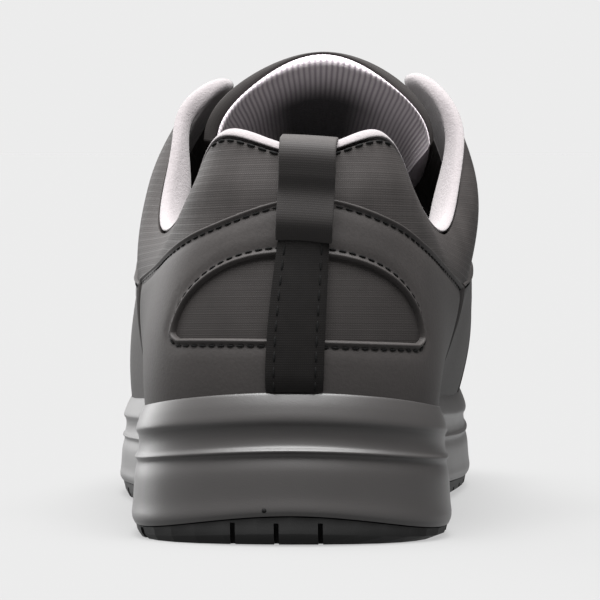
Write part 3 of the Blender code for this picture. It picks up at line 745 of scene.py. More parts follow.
Lip = namedtuple("Lip", "distance height")
LIP = (
    Lip(0.0, -0.1), Lip(0.14, 0.7), Lip(0.36, 1.32), Lip(0.65, 1.55), Lip(0.95, 1.45), Lip(1.25, 1.12),
    Lip(1.6, 0.86), Lip(2.0, 0.78), Lip(2.5, 0.88), Lip(3.3, 1.1), Lip(5.0, 1.25),
)
LIP_STEPS = tuple(lip.distance for lip in LIP)
SEAM_INSET = 2.0
SEAM_HEIGHT = 0.95
FILM_WALL = 1.1
# Stitches stop this short of an overlay's end, in ribs, and twin rows lie this far apart, in mm
SEAM_END = 0.1
SEAM_APART = 2.6
# Samples along seams, edges and ends, and how the distance to them is worked out
SEAM_SAMPLES = 400
SHORT_SEAM_SAMPLES = 300
EDGE_SAMPLES = 500
END_SAMPLES = 60
EDGE_CHUNK = 64
FAR = 99.0
BELOW_RIM = 1.2


def film_height(points, edges):
    """The film's height over the upper, from its distance to the nearest free edge."""
    distance = np.full(points.shape[:-1], FAR)
    for edge in edges:
        for start in range(0, len(edge), EDGE_CHUNK):
            gap = points[..., None, :] - edge[start:start + EDGE_CHUNK]
            distance = np.minimum(distance, np.linalg.norm(gap, axis=-1).min(-1))
    return row_curve(LIP, "height", distance)


def rows_between(at, low, high, count, low_lip=False):
    """Shares from a lower to an upper edge, with close rows along the upper lip, and along a lower one."""
    steps = np.array(LIP_STEPS)[:, None]
    length = full_length(at)
    half = (high - low) * length / 2
    last = np.minimum(steps, half * steps / steps[-1])
    first = last if low_lip else np.zeros((1, len(at)))
    start, end = low + first[-1] / length, high - last[-1] / length
    between = start + (end - start) * np.linspace(0, 1, count + 2)[1:-1, None]
    return np.concatenate([low + first / length, between, (high - last / length)[::-1]])


def lip_columns(first, last, count, per_rib):
    """Rib positions from first to last, with close columns along the two end lips."""
    steps = np.array(LIP_STEPS) / per_rib
    inner = np.linspace(first + steps[-1], last - steps[-1], count)[1:-1]
    return np.concatenate([first + steps, inner, (last - steps)[::-1]])


def film(name, at, share, edges, *nodes, drop=None):
    flat = wall(at, share)
    points = wall(at, share, film_height(flat, edges))
    piece = sheet(name, points, lengths_of(flat), drop)
    close_seams(piece)
    thicken(piece, FILM_WALL, even=False)
    return keep(piece, FILM, "overlay_film", *nodes, angle=60)


def under_rim(at):
    """The lower edge of an overlay that is tucked behind the midsole's rim."""
    return rim_share(at, BELOW_RIM)


def overlay(name, node, at, low, top, rows, samples=EDGE_SAMPLES, low_lip=False):
    """A film between two edges, each given as a function of rib positions."""
    long = np.linspace(at[0], at[-1], samples)
    edges = [wall(long, edge(long)) for edge in ((low, top) if low_lip else (top,))]
    edges += end_lines(at, low(at), top(at))
    return film(name, at, rows_between(at, low(at), top(at), rows, low_lip), edges, node)


def film_seam(name, at, edge, inset=SEAM_INSET):
    """A row of stitches on a film, this far below the share of an edge."""
    places = wall(at, edge - inset / full_length(at), SEAM_HEIGHT)
    return stitch_row(name, places, "overlay_film")


def end_lines(at, low, high):
    """The two ends of an overlay, each up one rib."""
    return [wall(np.full(END_SAMPLES, at[i]), np.linspace(low[i], high[i], END_SAMPLES)) for i in (0, -1)]


# The heel counter and its half-moon window

Counter = namedtuple("Counter", "at top window_low")
COUNTER = (
    Counter(-2.75, 66.0, 51.5), Counter(-2.0, 74.0, 51.5), Counter(-1.5, 78.8, 51.8),
    Counter(-1.0, 84.4, 52.5), Counter(0.0, 90.7, 53.8), Counter(1.0, 82.2, 53.5),
    Counter(1.5, 77.4, 52.8), Counter(2.0, 73.8, 52.6), Counter(2.75, 68.0, 52.6),
)
COUNTER_ENDS = (COUNTER[0].at, COUNTER[-1].at)
COUNTER_SEAM = (-2.7, 2.7)
# The window's ends in ribs, its height there and its arch in mm, the arch's powers, its tips in ribs
WINDOW_ENDS = (-1.33, 1.12)
WINDOW_LEAST = 3.4
WINDOW_ARCH = 18.3
WINDOW_SQUARE = 2.5
WINDOW_ROUND = 0.75
WINDOW_TIP = 0.09
WINDOW_SAMPLES = 1500
WINDOW_SEAM_SAMPLES = 240
# Columns before the window's tips, by the roots of their shares of the way: first, last and count
WINDOW_NEAR = (0.05, 0.6, 30)
# Columns past the tips, in ribs
WINDOW_PAST = (0.006, 0.012, 0.02, 0.03)
COUNTER_COLUMNS = 150
COUNTER_ROWS_BELOW = 6
COUNTER_ROWS_ABOVE = 4
# Millimetres from rib to rib round the heel
COUNTER_PER_RIB = 42.0


def counter_top(at):
    return share_at_height(at, row_curve(COUNTER, "top", at))


def window_edges(at):
    """Shares of the window's lower and upper edge; at its rounded tips, and past them, they meet."""
    low = row_curve(COUNTER, "window_low", at)
    end = np.where(at < 0, -WINDOW_ENDS[0], WINDOW_ENDS[1])
    part = np.clip(np.abs(at) / end, 0, 1)
    tip = np.sqrt(np.clip((end - np.abs(at)) / WINDOW_TIP, 0, 1))
    lower = low + WINDOW_LEAST / 2 * (1 - tip)
    upper = low + WINDOW_LEAST / 2 * (1 + tip) + WINDOW_ARCH * (1 - part**WINDOW_SQUARE) ** WINDOW_ROUND
    return share_at_height(at, lower), share_at_height(at, upper)


def window_sweep(count):
    """Rib positions from one end of the window to the other, closer together towards its tips."""
    left, right = WINDOW_ENDS
    return left + (right - left) * (1 - np.cos(np.linspace(0, math.pi, count))) / 2


def round_window(outside):
    """Rib positions and shares of a closed line that runs round the window, this far outside it."""
    there = window_sweep(WINDOW_SEAM_SAMPLES)
    back = there[-2::-1]
    at = np.concatenate([there, back])
    share = np.concatenate([window_edges(there)[0], window_edges(back)[1]])
    flat = np.stack([at * COUNTER_PER_RIB, share * full_length(at)], -1)
    ahead = np.gradient(flat, axis=0)
    beside = unit(np.stack([ahead[:, 1], -ahead[:, 0]], -1))
    flat = flat + outside * beside
    at = flat[:, 0] / COUNTER_PER_RIB
    return at, flat[:, 1] / full_length(at)


def counter_columns():
    """Rib positions across the counter, close together at its ends and at the window's tips."""
    side = lip_columns(*COUNTER_ENDS, COUNTER_COLUMNS, COUNTER_PER_RIB)
    tips = 1 - np.concatenate([[0.0], np.linspace(*WINDOW_NEAR)]) ** 2
    past = np.array(WINDOW_PAST)
    inner, outer = WINDOW_ENDS
    return np.unique(np.concatenate([side, inner * tips, inner - past, outer * tips, outer + past]))


def make_counter():
    at = counter_columns()
    low, top = under_rim(at), counter_top(at)
    window_low, window_high = window_edges(at)
    below = rows_between(at, low, window_low, COUNTER_ROWS_BELOW)
    above = rows_between(at, window_high, top, COUNTER_ROWS_ABOVE, low_lip=True)
    share = np.concatenate([below, above])
    drop = np.zeros((len(share) - 1, len(at) - 1), bool)
    middle = (at[1:] + at[:-1]) / 2
    drop[len(below) - 1] = (middle > WINDOW_ENDS[0]) & (middle < WINDOW_ENDS[1])
    fine = window_sweep(WINDOW_SAMPLES)
    window = np.concatenate([wall(fine, edge) for edge in window_edges(fine)])
    long = np.linspace(*COUNTER_ENDS, EDGE_SAMPLES)
    edges = [window, wall(long, counter_top(long)), *end_lines(at, low, top)]
    counter = film("heel_counter_film", at, share, edges, "heel_counter", drop=drop)
    seam = np.linspace(*COUNTER_SEAM, SEAM_SAMPLES)
    film_seam("counter_top_stitches", seam, counter_top(seam))
    film_seam("window_stitches", *round_window(SEAM_INSET), inset=0.0)
    return counter


# Side panels, toe cap and eyestay

Panel = namedtuple("Panel", "at top")
PANEL = (Panel(2.77, 66.5), Panel(3.25, 68.5), Panel(3.75, 72.0), Panel(4.25, 74.0), Panel(5.0, 63.0),
         Panel(5.25, 55.0))
PANEL_COLUMNS = 320
PANEL_ROWS = 14
PANEL_SAMPLES = 1600
PANEL_PER_RIB = 48.0
PANEL_SEAM_END = 0.06
# The toe cap reaches back to a leaning line, in mm from the heel.
CAP_ENDS = (5.75, 10.5)
CAP_COLUMNS = 120
CAP_ROWS = 22
CAP_PER_RIB = 44.0
CAP_ALONG = 222.0
CAP_LEAN = 0.5
CAP_LEAST = 5.0
# The eyestay follows the throat's edge, from one distance to another.
EYESTAY_ENDS = (4.3, 11.7)
EYESTAY_COLUMNS = 160
EYESTAY_ROWS = 2
EYESTAY_PER_RIB = 30.0
EYESTAY_EDGE = 1.2
EYESTAY_WIDTH = 16.0


def panel_top(at):
    return share_at_height(at, row_curve(PANEL, "top", np.abs(side_of(at))))


def make_panel(name, side, node):
    reach = lip_columns(PANEL[0].at, PANEL[-1].at, PANEL_COLUMNS, PANEL_PER_RIB)
    at = reach if side > 0 else ROUND - reach[::-1]
    panel = overlay(name, node, at, under_rim, panel_top, PANEL_ROWS, PANEL_SAMPLES)
    seam = np.linspace(at[0] + PANEL_SEAM_END, at[-1] - PANEL_SEAM_END, SHORT_SEAM_SAMPLES)
    film_seam(name + "_stitches", seam, panel_top(seam))
    return panel


def cap_edge(at):
    """The toe cap's upper edge: a slanted line over the foot, and at least a band above the rim."""
    def before_line(line):
        return CAP_ALONG - LENGTH / 2 - line[..., 1] + CAP_LEAN * (line[..., 2] - HEEL_RISE)

    return np.maximum(share_where(at, before_line), rim_share(at, -CAP_LEAST))


def make_toe_cap():
    at = lip_columns(*CAP_ENDS, CAP_COLUMNS, CAP_PER_RIB)
    cap = overlay("toe_cap_film", "toe_cap", at, under_rim, cap_edge, CAP_ROWS)
    seam = np.linspace(CAP_ENDS[0] + SEAM_END, CAP_ENDS[1] - SEAM_END, SEAM_SAMPLES)
    for number, inset in enumerate((SEAM_INSET, SEAM_INSET + SEAM_APART), 1):
        film_seam(f"toe_cap_stitches_{number}", seam, cap_edge(seam), inset)
    return cap


def make_eyestay():
    def outer_edge(at):
        return share_from_edge(at, EYESTAY_WIDTH)

    def inner_edge(at):
        return share_from_edge(at, EYESTAY_EDGE)

    columns = lip_columns(*EYESTAY_ENDS, EYESTAY_COLUMNS, EYESTAY_PER_RIB)
    stay = overlay("eyestay_film", "eyestay", columns, outer_edge, inner_edge, EYESTAY_ROWS, low_lip=True)
    seam = np.linspace(EYESTAY_ENDS[0] + SEAM_END, EYESTAY_ENDS[1] - SEAM_END, SEAM_SAMPLES)
    film_seam("eyestay_outer_stitches", seam, 1.0, EYESTAY_WIDTH - SEAM_INSET)
    film_seam("eyestay_inner_stitches", seam, 1.0, EYESTAY_EDGE + SEAM_INSET)
    return stay


# The heel's tape and pull loop

# The tape lies off the cloth, is crowned across, and tucks in above the rim.
STRIP_WIDTH = 13.4
STRIP_SHIFT = 1.0
STRIP_TOP = 79.5
STRIP_OFF = 3.0
STRIP_TUCK = 1.0
STRIP_TUCK_RUN = 5.0
STRIP_CLEAR = 0.2
STRIP_CROWN = 0.5
STRIP_ROWS = 60
STRIP_COLUMNS = 25
STRIP_SEAM = 2.0
STRIP_STITCHES = {"pitch": 4.0, "length": 2.8}
# The loop's tape bows and sags a little across, and leans to one side.
LOOP_WIDTH = 14.8
LOOP_TILT = 0.9
LOOP_BOW = 0.35
LOOP_SAG = 0.12
LOOP_BEVEL = 0.35
LOOP_ROWS = 90
LOOP_COLUMNS = 21
WEBBING_WALL = 1.4
Bend = namedtuple("Bend", "along up across")
PULL_LOOP = (
    Bend(6.5, 79.4, 3.4), Bend(3.4, 84.5, 3.7), Bend(4.6, 92.0, 4.1), Bend(3.1, 97.0, 4.4),
    Bend(2.5, 101.9, 4.5), Bend(5.0, 105.0, 4.6), Bend(12.0, 105.8, 4.6), Bend(23.0, 106.0, 4.6),
    Bend(31.5, 103.5, 4.6), Bend(34.0, 97.5, 4.6),
)


def make_strip():
    rim = sole_height("rim", 0.0)
    height = np.linspace(rim + STRIP_CLEAR, STRIP_TOP, STRIP_ROWS)
    tuck = STRIP_TUCK * np.clip(1 - (height - rim) / STRIP_TUCK_RUN, 0, 1) ** 2
    per_rib = np.linalg.norm(wall([0.5], [0.5]) - wall([-0.5], [0.5]))
    across = np.linspace(-0.5, 0.5, STRIP_COLUMNS)
    at = (across * STRIP_WIDTH - STRIP_SHIFT) / per_rib
    share = np.stack([share_at_height(at, z) for z in height])
    crown = STRIP_OFF - STRIP_CROWN * np.abs(2 * across) ** 6
    points = wall(at, share, crown - tuck[:, None])
    strip = sheet("heel_tape", points, lengths_of(points))
    thicken(strip, WEBBING_WALL)
    for name, side in (("outer", 1), ("inner", -1)):
        seam = np.full(len(height), (side * (STRIP_WIDTH / 2 - STRIP_SEAM) - STRIP_SHIFT) / per_rib)
        places = wall(seam, share_at_height(seam, height), STRIP_OFF - tuck)
        stitch_row(f"tape_stitches_{name}", places, "webbing", **STRIP_STITCHES)
    return keep(strip, WEBBING, "webbing", "heel_strip", angle=50)


def make_pull_loop():
    fine = np.linspace(0, len(PULL_LOOP) - 1, LOOP_ROWS)
    middle = np.stack([station_curve(PULL_LOOP, name, fine) for name in ("across", "along", "up")], -1)
    middle += np.array([AXIS_SHIFT, -LENGTH / 2, 0])
    across = np.linspace(-0.5, 0.5, LOOP_COLUMNS)
    bow = (2 * across) ** 2
    section = np.stack([-across * LOOP_WIDTH, LOOP_BOW * bow, LOOP_TILT * across - LOOP_SAG * bow], -1)
    points = middle[:, None, :] + section
    loop = sheet("pull_loop_tape", points, lengths_of(points))
    thicken(loop, WEBBING_WALL, 0.0)
    apply_modifier(loop, "BEVEL", width=LOOP_BEVEL * MM, segments=2, limit_method="ANGLE")
    return keep(loop, LOOP_WEBBING, "webbing", "pull_loop", angle=50)


# The padded collar

Pad = namedtuple("Pad", "above depth padding")
CUFF = (
    Pad(-34.0, 3.0, 0.5), Pad(-26.0, 3.8, 3.6), Pad(-15.0, 4.2, 6.2), Pad(-4.0, 4.3, 6.6), Pad(1.6, 4.0, 4.8),
    Pad(3.2, 2.4, 1.0), Pad(2.6, 0.6, 0.0), Pad(0.9, 0.0, 0.0), Pad(1.3, 2.9, 0.0), Pad(-4.0, 3.5, 0.0),
    Pad(-14.0, 3.3, 0.0), Pad(-25.0, 3.2, 0.0),
)
CUFF_FILL = (
    (-4.25, 0.0), (-4.0, 0.0), (-3.75, 0.05), (-3.5, 0.3), (-3.25, 0.62), (-3.0, 0.8), (-2.5, 0.9),
    (2.5, 0.9), (3.0, 0.8), (3.25, 0.62), (3.5, 0.3), (3.75, 0.05), (4.0, 0.0), (4.25, 0.0),
)
# The roll turns out over the collar's wings, in mm, and is fuller below them, in shares of its padding.
ROLL_OUT = (Wing(3.74, 0.22, -1.9), Wing(-3.64, 0.28, 1.7))
ROLL_FULL = (Wing(3.33, 0.22, 0.41), Wing(-3.30, 0.30, 0.48), Wing(3.8, 0.2, 0.12))
ROLL_FROM = -10.0
COLLAR_SEAM = 1.15
COLLAR_SEAM_DROP = 0.3
COLLAR_SEAM_OFF = 0.15
COLLAR_STITCHES = {"pitch": 3.4, "length": 2.6, "thread": 0.8}
EDGE_STEP = 2.0
CUFF_COLUMNS = 220
CUFF_ROUND = 60


def make_cuff():
    at = np.linspace(CUFF_FILL[0][0], CUFF_FILL[-1][0], CUFF_COLUMNS)
    fill = open_curve(*zip(*CUFF_FILL), at) + swellings(ROLL_FULL, at)
    turned = swellings(ROLL_OUT, at)
    edge = wall(at, np.ones(len(at)))
    above_way = unit(edge - wall(at, share_from_edge(at, EDGE_STEP)))
    inward_way = wall(at, np.ones(len(at)), -1.0) - edge
    sections = []
    for turn in np.arange(CUFF_ROUND) * len(CUFF) / CUFF_ROUND:
        above, depth, padding = (closed_curve(pads, turn) for pads in zip(*CUFF))
        depth = depth + padding * fill
        under = wall(at, share_from_edge(at, np.maximum(-above, 0)), -depth)
        over = edge + max(above, 0) * above_way + depth[:, None] * inward_way
        section = over if above > 0 else under
        section[:, 0] += turned * min(max(1 - above / ROLL_FROM, 0), 1)
        sections.append(section)
    cuff = loft("collar_padding", list(np.stack(sections, 1)))
    keep(cuff, LINING, "collar_lining", "collar_cuff")
    seam = np.linspace(-COLLAR_SEAM, COLLAR_SEAM, SHORT_SEAM_SAMPLES)
    share = share_from_edge(seam, COLLAR_SEAM_DROP)
    places = wall(seam, share, upper_swell(seam, share) + COLLAR_SEAM_OFF)
    stitch_row("collar_stitches", places, "upper_ripstop", **COLLAR_STITCHES)
    return cuff


# The tongue: a dark cover outside and a ribbed padded lining inside

Fold = namedtuple("Fold", "along across up half drop thick")
TONGUE = (
    Fold(203.0, 1.5, 76.0, 17.0, 7.0, 3.0),
    Fold(190.0, 1.5, 82.0, 20.0, 8.0, 4.0),
    Fold(174.0, 1.5, 89.5, 22.5, 9.5, 5.0),
    Fold(150.0, 2.0, 102.5, 26.0, 13.0, 6.0),
    Fold(130.0, 3.2, 115.0, 29.8, 19.0, 6.5),
    Fold(116.0, 4.5, 125.3, 30.8, 23.5, 6.5),
    Fold(107.5, 5.0, 130.2, 30.8, 25.0, 5.0),
)
# The dark cover's share of the tongue's thickness: at its crest, and what its sides, its inner side and its
# shoulders add. The shoulders lie a little lower than a round arch, in mm.
HEM = 0.18
HEM_SIDES = 0.2
HEM_INNER = 0.24
HEM_SHOULDERS = 0.28
TONGUE_SHOULDERS = 1.0
TONGUE_THIN = 0.6
# The lining's ribs: their depth in mm, how round they are, and the level they ripple about
RIB_DEPTH = 0.17
RIB_ROUND = 0.7
RIB_LEVEL = 0.6
# Its cover stands out at the outer side; its lining swells inwards away from its upper end.
COVER_OUT = 3.0
TONGUE_SWELL = 6.0
TONGUE_SWELL_RUN = 2.2
# Its inner face lies further in, back and down, in shares of its thickness.
INNER_SIDE = 0.5
INNER_BACK = 0.5
INNER_DOWN = 0.9
# The rows that round off the upper ends, and how far they reach in mm
COVER_END = {"count": 5, "reach": 0.9}
LINING_END = {"count": 8, "reach": 2.0}
TONGUE_ROWS = 70
COVER_COLUMNS = 121
LINING_COLUMNS = 561
# The lining's share of the arch, and its clearance from the cover in shares of the thickness
LINING_REACH = 0.985
LINING_CLEAR = 0.02


def tongue_at(along):
    """The tongue's sizes at stations counted from its toe end."""
    return Fold(*(station_curve(TONGUE, name, along) for name in Fold._fields))


def tongue_face(station, turn, depth):
    """Points of the tongue's arch, from its outer face (depth 0) to its inner face (depth 1)."""
    along, across, up, half, drop, thick = (size[:, None] for size in tongue_at(station))
    thick = thick * (TONGUE_THIN + (1 - TONGUE_THIN) * np.cos(turn)) * depth
    shoulders = TONGUE_SHOULDERS * np.sin(2 * turn) ** 2
    return np.stack([
        across + AXIS_SHIFT + half * np.sin(turn) - INNER_SIDE * thick * np.sin(turn),
        along - LENGTH / 2 - INNER_BACK * thick,
        up - drop * (1 - np.cos(turn)) - shoulders - INNER_DOWN * thick,
    ], -1)


def tongue_hem(turn):
    """The dark cover's share of the tongue's thickness."""
    sides = HEM_SIDES * np.sin(turn) ** 2 + HEM_INNER * np.clip(np.sin(turn), 0, 1)
    return HEM + sides + HEM_SHOULDERS * np.sin(2 * turn) ** 2


def rounded_end(inner, outer, count, reach):
    """Rows that carry two faces round to meet each other at the tongue's upper end."""
    middle, half = (inner[-1] + outer[-1]) / 2, (inner[-1] - outer[-1]) / 2
    ahead = unit(outer[-1] - outer[-3])
    angle = np.linspace(0, math.pi / 2, count + 1)[1:]
    carry = reach * np.sin(angle)[:, None, None] * ahead
    inner = np.concatenate([inner, middle + np.cos(angle)[:, None, None] * half + carry])
    outer = np.concatenate([outer, middle - np.cos(angle)[:, None, None] * half + carry])
    return inner, outer


def end_length(face):
    """The length round a face's last row."""
    return np.linalg.norm(np.diff(face[-1], axis=0), axis=-1).sum()


def padded_shell(name, inner, outer):
    """A closed form between two faces given as grids of the same size.

    Its UV lengths are counted from its upper end.
    """
    rings = np.concatenate([inner, outer[:, ::-1]], 1)
    rings = np.concatenate([rings, rings[:, :1]], 1)
    measure = lengths_of(rings)
    measure[..., 0] = np.arange(rings.shape[1]) * end_length(inner) / (inner.shape[1] - 1)
    measure[..., 1] -= measure[-1, :, 1]
    return close_form(sheet(name, rings, measure))


def make_tongue():
    station = np.linspace(0, len(TONGUE) - 1, TONGUE_ROWS)
    turn = np.linspace(-1, 1, COVER_COLUMNS) * math.pi / 2
    outer = tongue_face(station, turn, np.zeros_like(turn))
    away = np.clip((station[-1] - station) / TONGUE_SWELL_RUN, 0, 1)[:, None]
    outer[..., 0] -= COVER_OUT * (1 - away) * np.clip(-np.sin(turn), 0, 1) ** 2
    hemmed = tongue_face(station, turn, tongue_hem(turn))
    cover = padded_shell("tongue_cover", *rounded_end(hemmed, outer, **COVER_END))
    keep(cover, RIPSTOP, "upper_ripstop", "tongue")
    share = np.linspace(0, 1, LINING_COLUMNS)
    turn = (2 * share - 1) * math.pi / 2 * LINING_REACH
    thick = tongue_at(station).thick[:, None]
    ribs = end_length(tongue_face(station, turn, np.ones_like(turn))) / RIB_PITCH
    ripple = RIB_DEPTH * (np.abs(np.sin(math.pi * ribs * share)) ** RIB_ROUND - RIB_LEVEL)
    inner = tongue_face(station, turn, 1.0 + ripple / thick)
    inner[..., 0] -= TONGUE_SWELL * away * np.sin(turn)
    back = tongue_face(station, turn, tongue_hem(turn) + LINING_CLEAR)
    lining = padded_shell("tongue_lining", *rounded_end(inner, back, **LINING_END))
    keep(lining, RIBBED, "collar_lining")
    return cover


# Eyelets and laces

EYELETS = (4.62, 5.0, 5.42, 5.92, 6.5)
EYELET_FROM_EDGE = 8.0
EYELET_RADIUS = 3.6
EYELET_WIRE = 0.95
EYELET_OFF = 1.6
WELL_DROP = 0.35
WELL_WALL = 0.4
LACE = 3.4
LACE_OVER = 2.0
LACE_ON_EDGE = 2.7
LACE_FLAT = 0.72
LACE_TIP = 0.02
LACE_NECK = 0.7
LACE_ROWS = 90
LACE_SIDES = 16
# A lace's knots at an eyelet, in mm: how far out of the ring, and how far towards the throat's edge
LACE_KNOTS = ((-1.2, 0.0), (1.0, 0.0), (2.6, 2.2))


def eyelet_place(at):
    """The middle of an eyelet's ring, and the way it faces."""
    share = share_from_edge([at], EYELET_FROM_EDGE)
    place = wall([at], share, EYELET_OFF)[0]
    return place, wall([at], share, EYELET_OFF + 1)[0] - place


def make_eyelet(name, at, node):
    """A pressed ring, with a black disc in its hole as painted shade."""
    place, facing = eyelet_place(at)
    turn = Vector(facing).to_track_quat("Z", "Y").to_euler()
    ring = add(name, bpy.ops.mesh.primitive_torus_add, major_segments=40, minor_segments=12,
               major_radius=EYELET_RADIUS * MM, minor_radius=EYELET_WIRE * MM,
               location=place * MM, rotation=turn)
    # Painted shade: a black disc fills the ring's hole.
    well = add(name + "_well", bpy.ops.mesh.primitive_circle_add, vertices=32, radius=EYELET_RADIUS * MM,
               fill_type="NGON", location=(place - WELL_DROP * facing) * MM, rotation=turn)
    for piece in (ring, well):
        select_only(piece)
        bpy.ops.object.transform_apply(location=True, rotation=True, scale=True)
    thicken(well, WELL_WALL)
    keep(ring, RING, "eyelet_plastic", node)
    return keep(well, THREAD_BLACK, "eyelet_plastic")


def lace_run(name, first, second, lift):
    """A lace up out of one eyelet, over the tongue and down into another."""
    places = []
    for at in (first, second):
        place, facing = eyelet_place(at)
        edge = wall([at], [1.0], LACE_ON_EDGE)[0]
        inward = unit(edge - place)
        places.append([*(place + out * facing + aside * inward for out, aside in LACE_KNOTS), edge])
    middle = (places[0][-1] + places[1][-1]) / 2
    stations = np.array([fold.along for fold in TONGUE])[::-1] - LENGTH / 2
    crest = np.interp(middle[1], stations, np.array([fold.up for fold in TONGUE])[::-1])
    middle[2] = max(middle[2], crest + LACE / 2) + lift
    knots = np.array([*places[0], middle, *places[1][::-1]])
    run = run_along(knots)
    fine = np.linspace(0, run[-1], LACE_ROWS)
    line = np.stack([open_curve(run, knots[:, i], fine) for i in range(3)], -1)
    return sweep(name, line, LACE / 2)


def sweep(name, line, radius):
    """A flattened cord along a line of places in millimetres, with rounded ends."""
    ahead = unit(np.gradient(line, axis=0))
    beside = unit(np.cross(ahead, (0, 0, 1)))
    above = np.cross(beside, ahead)
    turn = np.linspace(0, 2 * math.pi, LACE_SIDES + 1)[None, :, None]
    size = np.full(len(line), radius)
    size[[0, -1]] = LACE_TIP
    size[[1, -2]] = LACE_NECK * radius
    ring = np.cos(turn) * beside[:, None] + LACE_FLAT * np.sin(turn) * above[:, None]
    points = line[:, None] + size[:, None, None] * ring
    return close_form(sheet(name, points, lengths_of(points)))


def make_laces():
    runs = [(EYELETS[-1], ROUND - EYELETS[-1], 0.0)]
    for low, high in zip(EYELETS[1:], EYELETS):
        runs.append((low, ROUND - high, 0.0))
        runs.append((ROUND - low, high, LACE_OVER))
    for number, run in enumerate(runs, 1):
        nodes = ("laces",) if number == 1 else ()
        keep(lace_run(f"lace_run_{number}", *run), CORD, "lace_cord", *nodes)


# The sole

Step = namedtuple("Step", "name share inset")
MIDSOLE_SIDE = (
    Step("lower_edge", 0.00, 0.8),
    Step("flare", 0.06, 0.0),
    Step("wall_low", 0.20, 0.5),
    Step("wall_waist", 0.42, 0.9),
    Step("wall_top", 0.545, 1.9),
    Step("ledge_edge", 0.585, 0.9),
    Step("ledge_slope", 0.625, 2.0),
    Step("groove", 0.70, 2.6),
    Step("groove_top", 0.765, 2.3),
    Step("band_edge", 0.815, 1.1),
    Step("band_mid", 0.90, 1.8),
    Step("rim_out", 0.97, 2.9),
    Step("rim_top", 1.00, 3.7),
    Step("rim_in", 0.99, 4.65),
)
# The steps grow shallower round the heel's sides, down to this share.
RELIEF_SIDE = 0.55
RELIEF_SPREAD = 1.1
# The plain side that the steps fade into: shares of its height and insets.
PLAIN_SIDE = ((0.0, 0.8), (0.1, 0.4), (0.8, 1.6), (1.0, 3.7))
SOLE_COLUMNS = 288
STEP_ROWS = 6
CORE_INSET = 9.0
CORE_RISE = 2.4
SOLE_GAP = 0.35


def sole_ring(at, inset, height):
    plan = outline(at) - np.asarray(inset) * outward(at)
    return np.concatenate([plan, np.broadcast_to(height, at.shape)[:, None]], -1)


def sole_positions():
    return np.arange(SOLE_COLUMNS) * ROUND / SOLE_COLUMNS


def make_midsole():
    at = sole_positions()
    low, rim, floor = (sole_height(name, at) for name in ("part", "rim", "floor"))
    last = len(MIDSOLE_SIDE) - 1
    fine = np.linspace(0, last, STEP_ROWS * last + 1)
    share = station_curve(MIDSOLE_SIDE, "share", fine)
    inset = station_curve(MIDSOLE_SIDE, "inset", fine)
    flat = np.interp(share, *zip(*PLAIN_SIDE))
    relief = RELIEF_SIDE + (1 - RELIEF_SIDE) * near(side_of(at), 0.0, RELIEF_SPREAD)[:, None]
    rings = [sole_ring(at, CORE_INSET, low + CORE_RISE)]
    for s, plain, stepped in zip(share, flat, inset):
        rings.append(sole_ring(at, plain + (stepped - plain) * relief, low * (1 - s) ** 2 + rim * s))
    rings.append(sole_ring(at, UPPER_INSET - SOLE_GAP, floor - SOLE_GAP))
    return keep(loft("midsole_cup", rings), FOAM, "midsole_foam", "midsole", angle=60)


# The moulding's pip low on the heel
PIP_AT = 0.18
PIP_UP = 9.4
PIP_INSET = 0.1
PIP_RADIUS = 0.65
PIP_ROWS = 9
PIP_SIDES = 16


def make_pip():
    middle = sole_ring(np.array([PIP_AT]), PIP_INSET, PIP_UP)[0]
    rise = np.linspace(-0.5, 0.5, PIP_ROWS)[:, None] * math.pi
    turn = np.linspace(0, 2, PIP_SIDES + 1)[None] * math.pi
    level = np.cos(rise)
    ball = np.broadcast_arrays(level * np.cos(turn), level * np.sin(turn), np.sin(rise))
    ball = np.stack(ball, -1)
    pip = close_form(sheet("moulding_pip", middle + PIP_RADIUS * ball))
    return keep(pip, THREAD_BLACK, "midsole_foam")


INSOLE_THICKNESS = 4.0
INSOLE_ROUND = 1.2
INSOLE_DISH = 0.6
INSOLE_DISH_INSET = 9.0


def make_footbed():
    at = sole_positions()
    inset = UPPER_INSET + UPPER_WALL + 2 * SOLE_GAP
    floor = sole_height("floor", at)
    top = floor + INSOLE_THICKNESS
    rings = [sole_ring(at, inset, floor), sole_ring(at, inset, top - INSOLE_ROUND)]
    for angle in np.linspace(0.3, math.pi / 2, 5):
        rings.append(sole_ring(at, inset + INSOLE_ROUND * (1 - math.cos(angle)),
                               top - INSOLE_ROUND * (1 - math.sin(angle))))
    rings.append(sole_ring(at, inset + INSOLE_DISH_INSET, top - INSOLE_DISH))
    return keep(loft("footbed", rings), FOOTBED, "insole_fabric", "insole", angle=60)


def dress_outsole():
    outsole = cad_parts["outsole"]
    outsole.data.materials.clear()
    outsole.data.materials.append(RUBBER)


# Floor, light and camera

FLOOR_SIZE = 80.0
FLOOR_GREY = 0.05
FLOOR_GLOW = 0.482
SKY_LEVEL = 0.84
SKY_DIM = 0.80
SKY_SHADE = 0.90
SKY_ABOVE = 0.5
SKY_LEFT = 0.2
# Where its shades and its bright top come in, by the direction's own y, x and z
SKY_BEHIND = (0.0, 0.6)
SKY_RIGHT = (0.035, 0.14)
SKY_HIGH = (0.5, 0.95)
# Each lamp's direction, its cone in degrees, and its level
SOFTBOX_WAY = (0.0, -0.19, 0.98)
SOFTBOX_INNER = 18.0
SOFTBOX_OUTER = 36.0
SOFTBOX_LEVEL = 29.0
RIM_WAY = (-0.76, 0.6, 0.25)
RIM_INNER = 14.0
RIM_OUTER = 32.0
RIM_LEVEL = 5.2
CAMERA_PLACE = (0.0597, -1.400, 0.105)
CAMERA_PITCH = -1.87
CAMERA_YAW = 2.35
CAMERA_LENS = 290.0


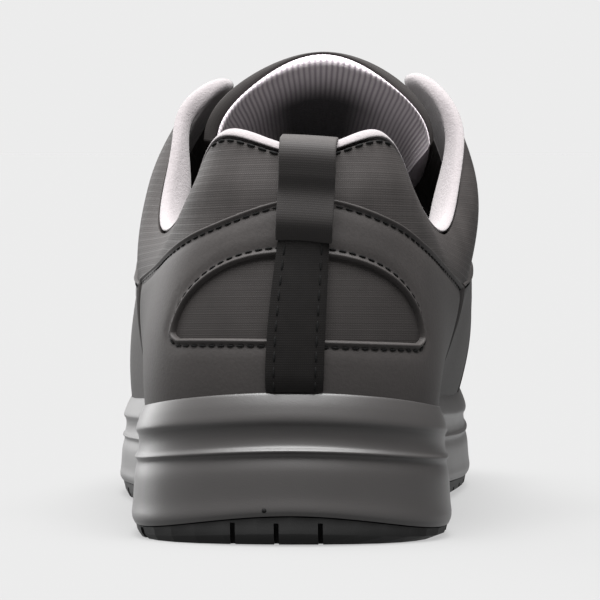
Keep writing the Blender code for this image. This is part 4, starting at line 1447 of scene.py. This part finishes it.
def make_floor():
    floor = add("floor", bpy.ops.mesh.primitive_plane_add, size=FLOOR_SIZE)
    paper = Finish("paper", base_color=(*grey(FLOOR_GREY), 1), roughness=0.95, specular_ior_level=0.0,
                   emission_color=(1, 1, 1, 1), emission_strength=FLOOR_GLOW)
    floor.data.materials.append(paper.material)


def make_sky():
    """A pale studio: a softbox overhead, a rim light at left, shade at right and behind the camera."""
    world = bpy.data.worlds.new("studio")
    bpy.context.scene.world = world
    world.use_nodes = True
    sky = Nodes(world.node_tree)
    x, y, z = sky.split(sky.node("ShaderNodeTexCoord", None, None, "Generated"))
    behind = sky.ease(0 - y, *SKY_BEHIND)
    right = sky.ease(x, *SKY_RIGHT)
    left = (0 - x).math("MAXIMUM", 0.0) ** 3.0
    above = sky.ease(z, *SKY_HIGH)

    def lamp(way, inner, outer):
        """A round soft light in one direction of the sky."""
        towards = x * way[0] + y * way[1] + z * way[2]
        return sky.ease(towards, math.cos(math.radians(outer)), math.cos(math.radians(inner)))

    box = SOFTBOX_LEVEL * lamp(SOFTBOX_WAY, SOFTBOX_INNER, SOFTBOX_OUTER)
    rim = RIM_LEVEL * lamp(RIM_WAY, RIM_INNER, RIM_OUTER)
    room = SKY_LEVEL * (1 - SKY_DIM * behind) * (1 - SKY_SHADE * right)
    level = room + SKY_ABOVE * above + SKY_LEFT * left + box + rim
    background = world.node_tree.nodes["Background"]
    background.inputs["Color"].default_value = (1, 1, 1, 1)
    world.node_tree.links.new(level.socket, background.inputs["Strength"])


def make_camera():
    camera = bpy.data.cameras.new("camera")
    camera.lens = CAMERA_LENS
    camera.clip_end = 200
    holder = bpy.data.objects.new("camera", camera)
    bpy.context.scene.collection.objects.link(holder)
    holder.location = CAMERA_PLACE
    holder.rotation_euler = (math.radians(90 + CAMERA_PITCH), 0, math.radians(CAMERA_YAW))
    bpy.context.scene.camera = holder
    bpy.context.scene.view_settings.view_transform = "Standard"


make_camera()
make_sky()
make_floor()
make_upper()
make_counter()
make_panel("side_panel_outer_film", 1, "side_panel_outer")
make_panel("side_panel_inner_film", -1, "side_panel_inner")
make_toe_cap()
make_eyestay()
make_strip()
make_pull_loop()
make_cuff()
make_tongue()
for row, place in enumerate(EYELETS, 1):
    make_eyelet(f"eyelet_ring_outer_{row}", place, f"eyelet_outer_{row}")
    make_eyelet(f"eyelet_ring_inner_{row}", ROUND - place, f"eyelet_inner_{row}")
make_laces()
make_midsole()
make_pip()
make_footbed()
dress_outsole()
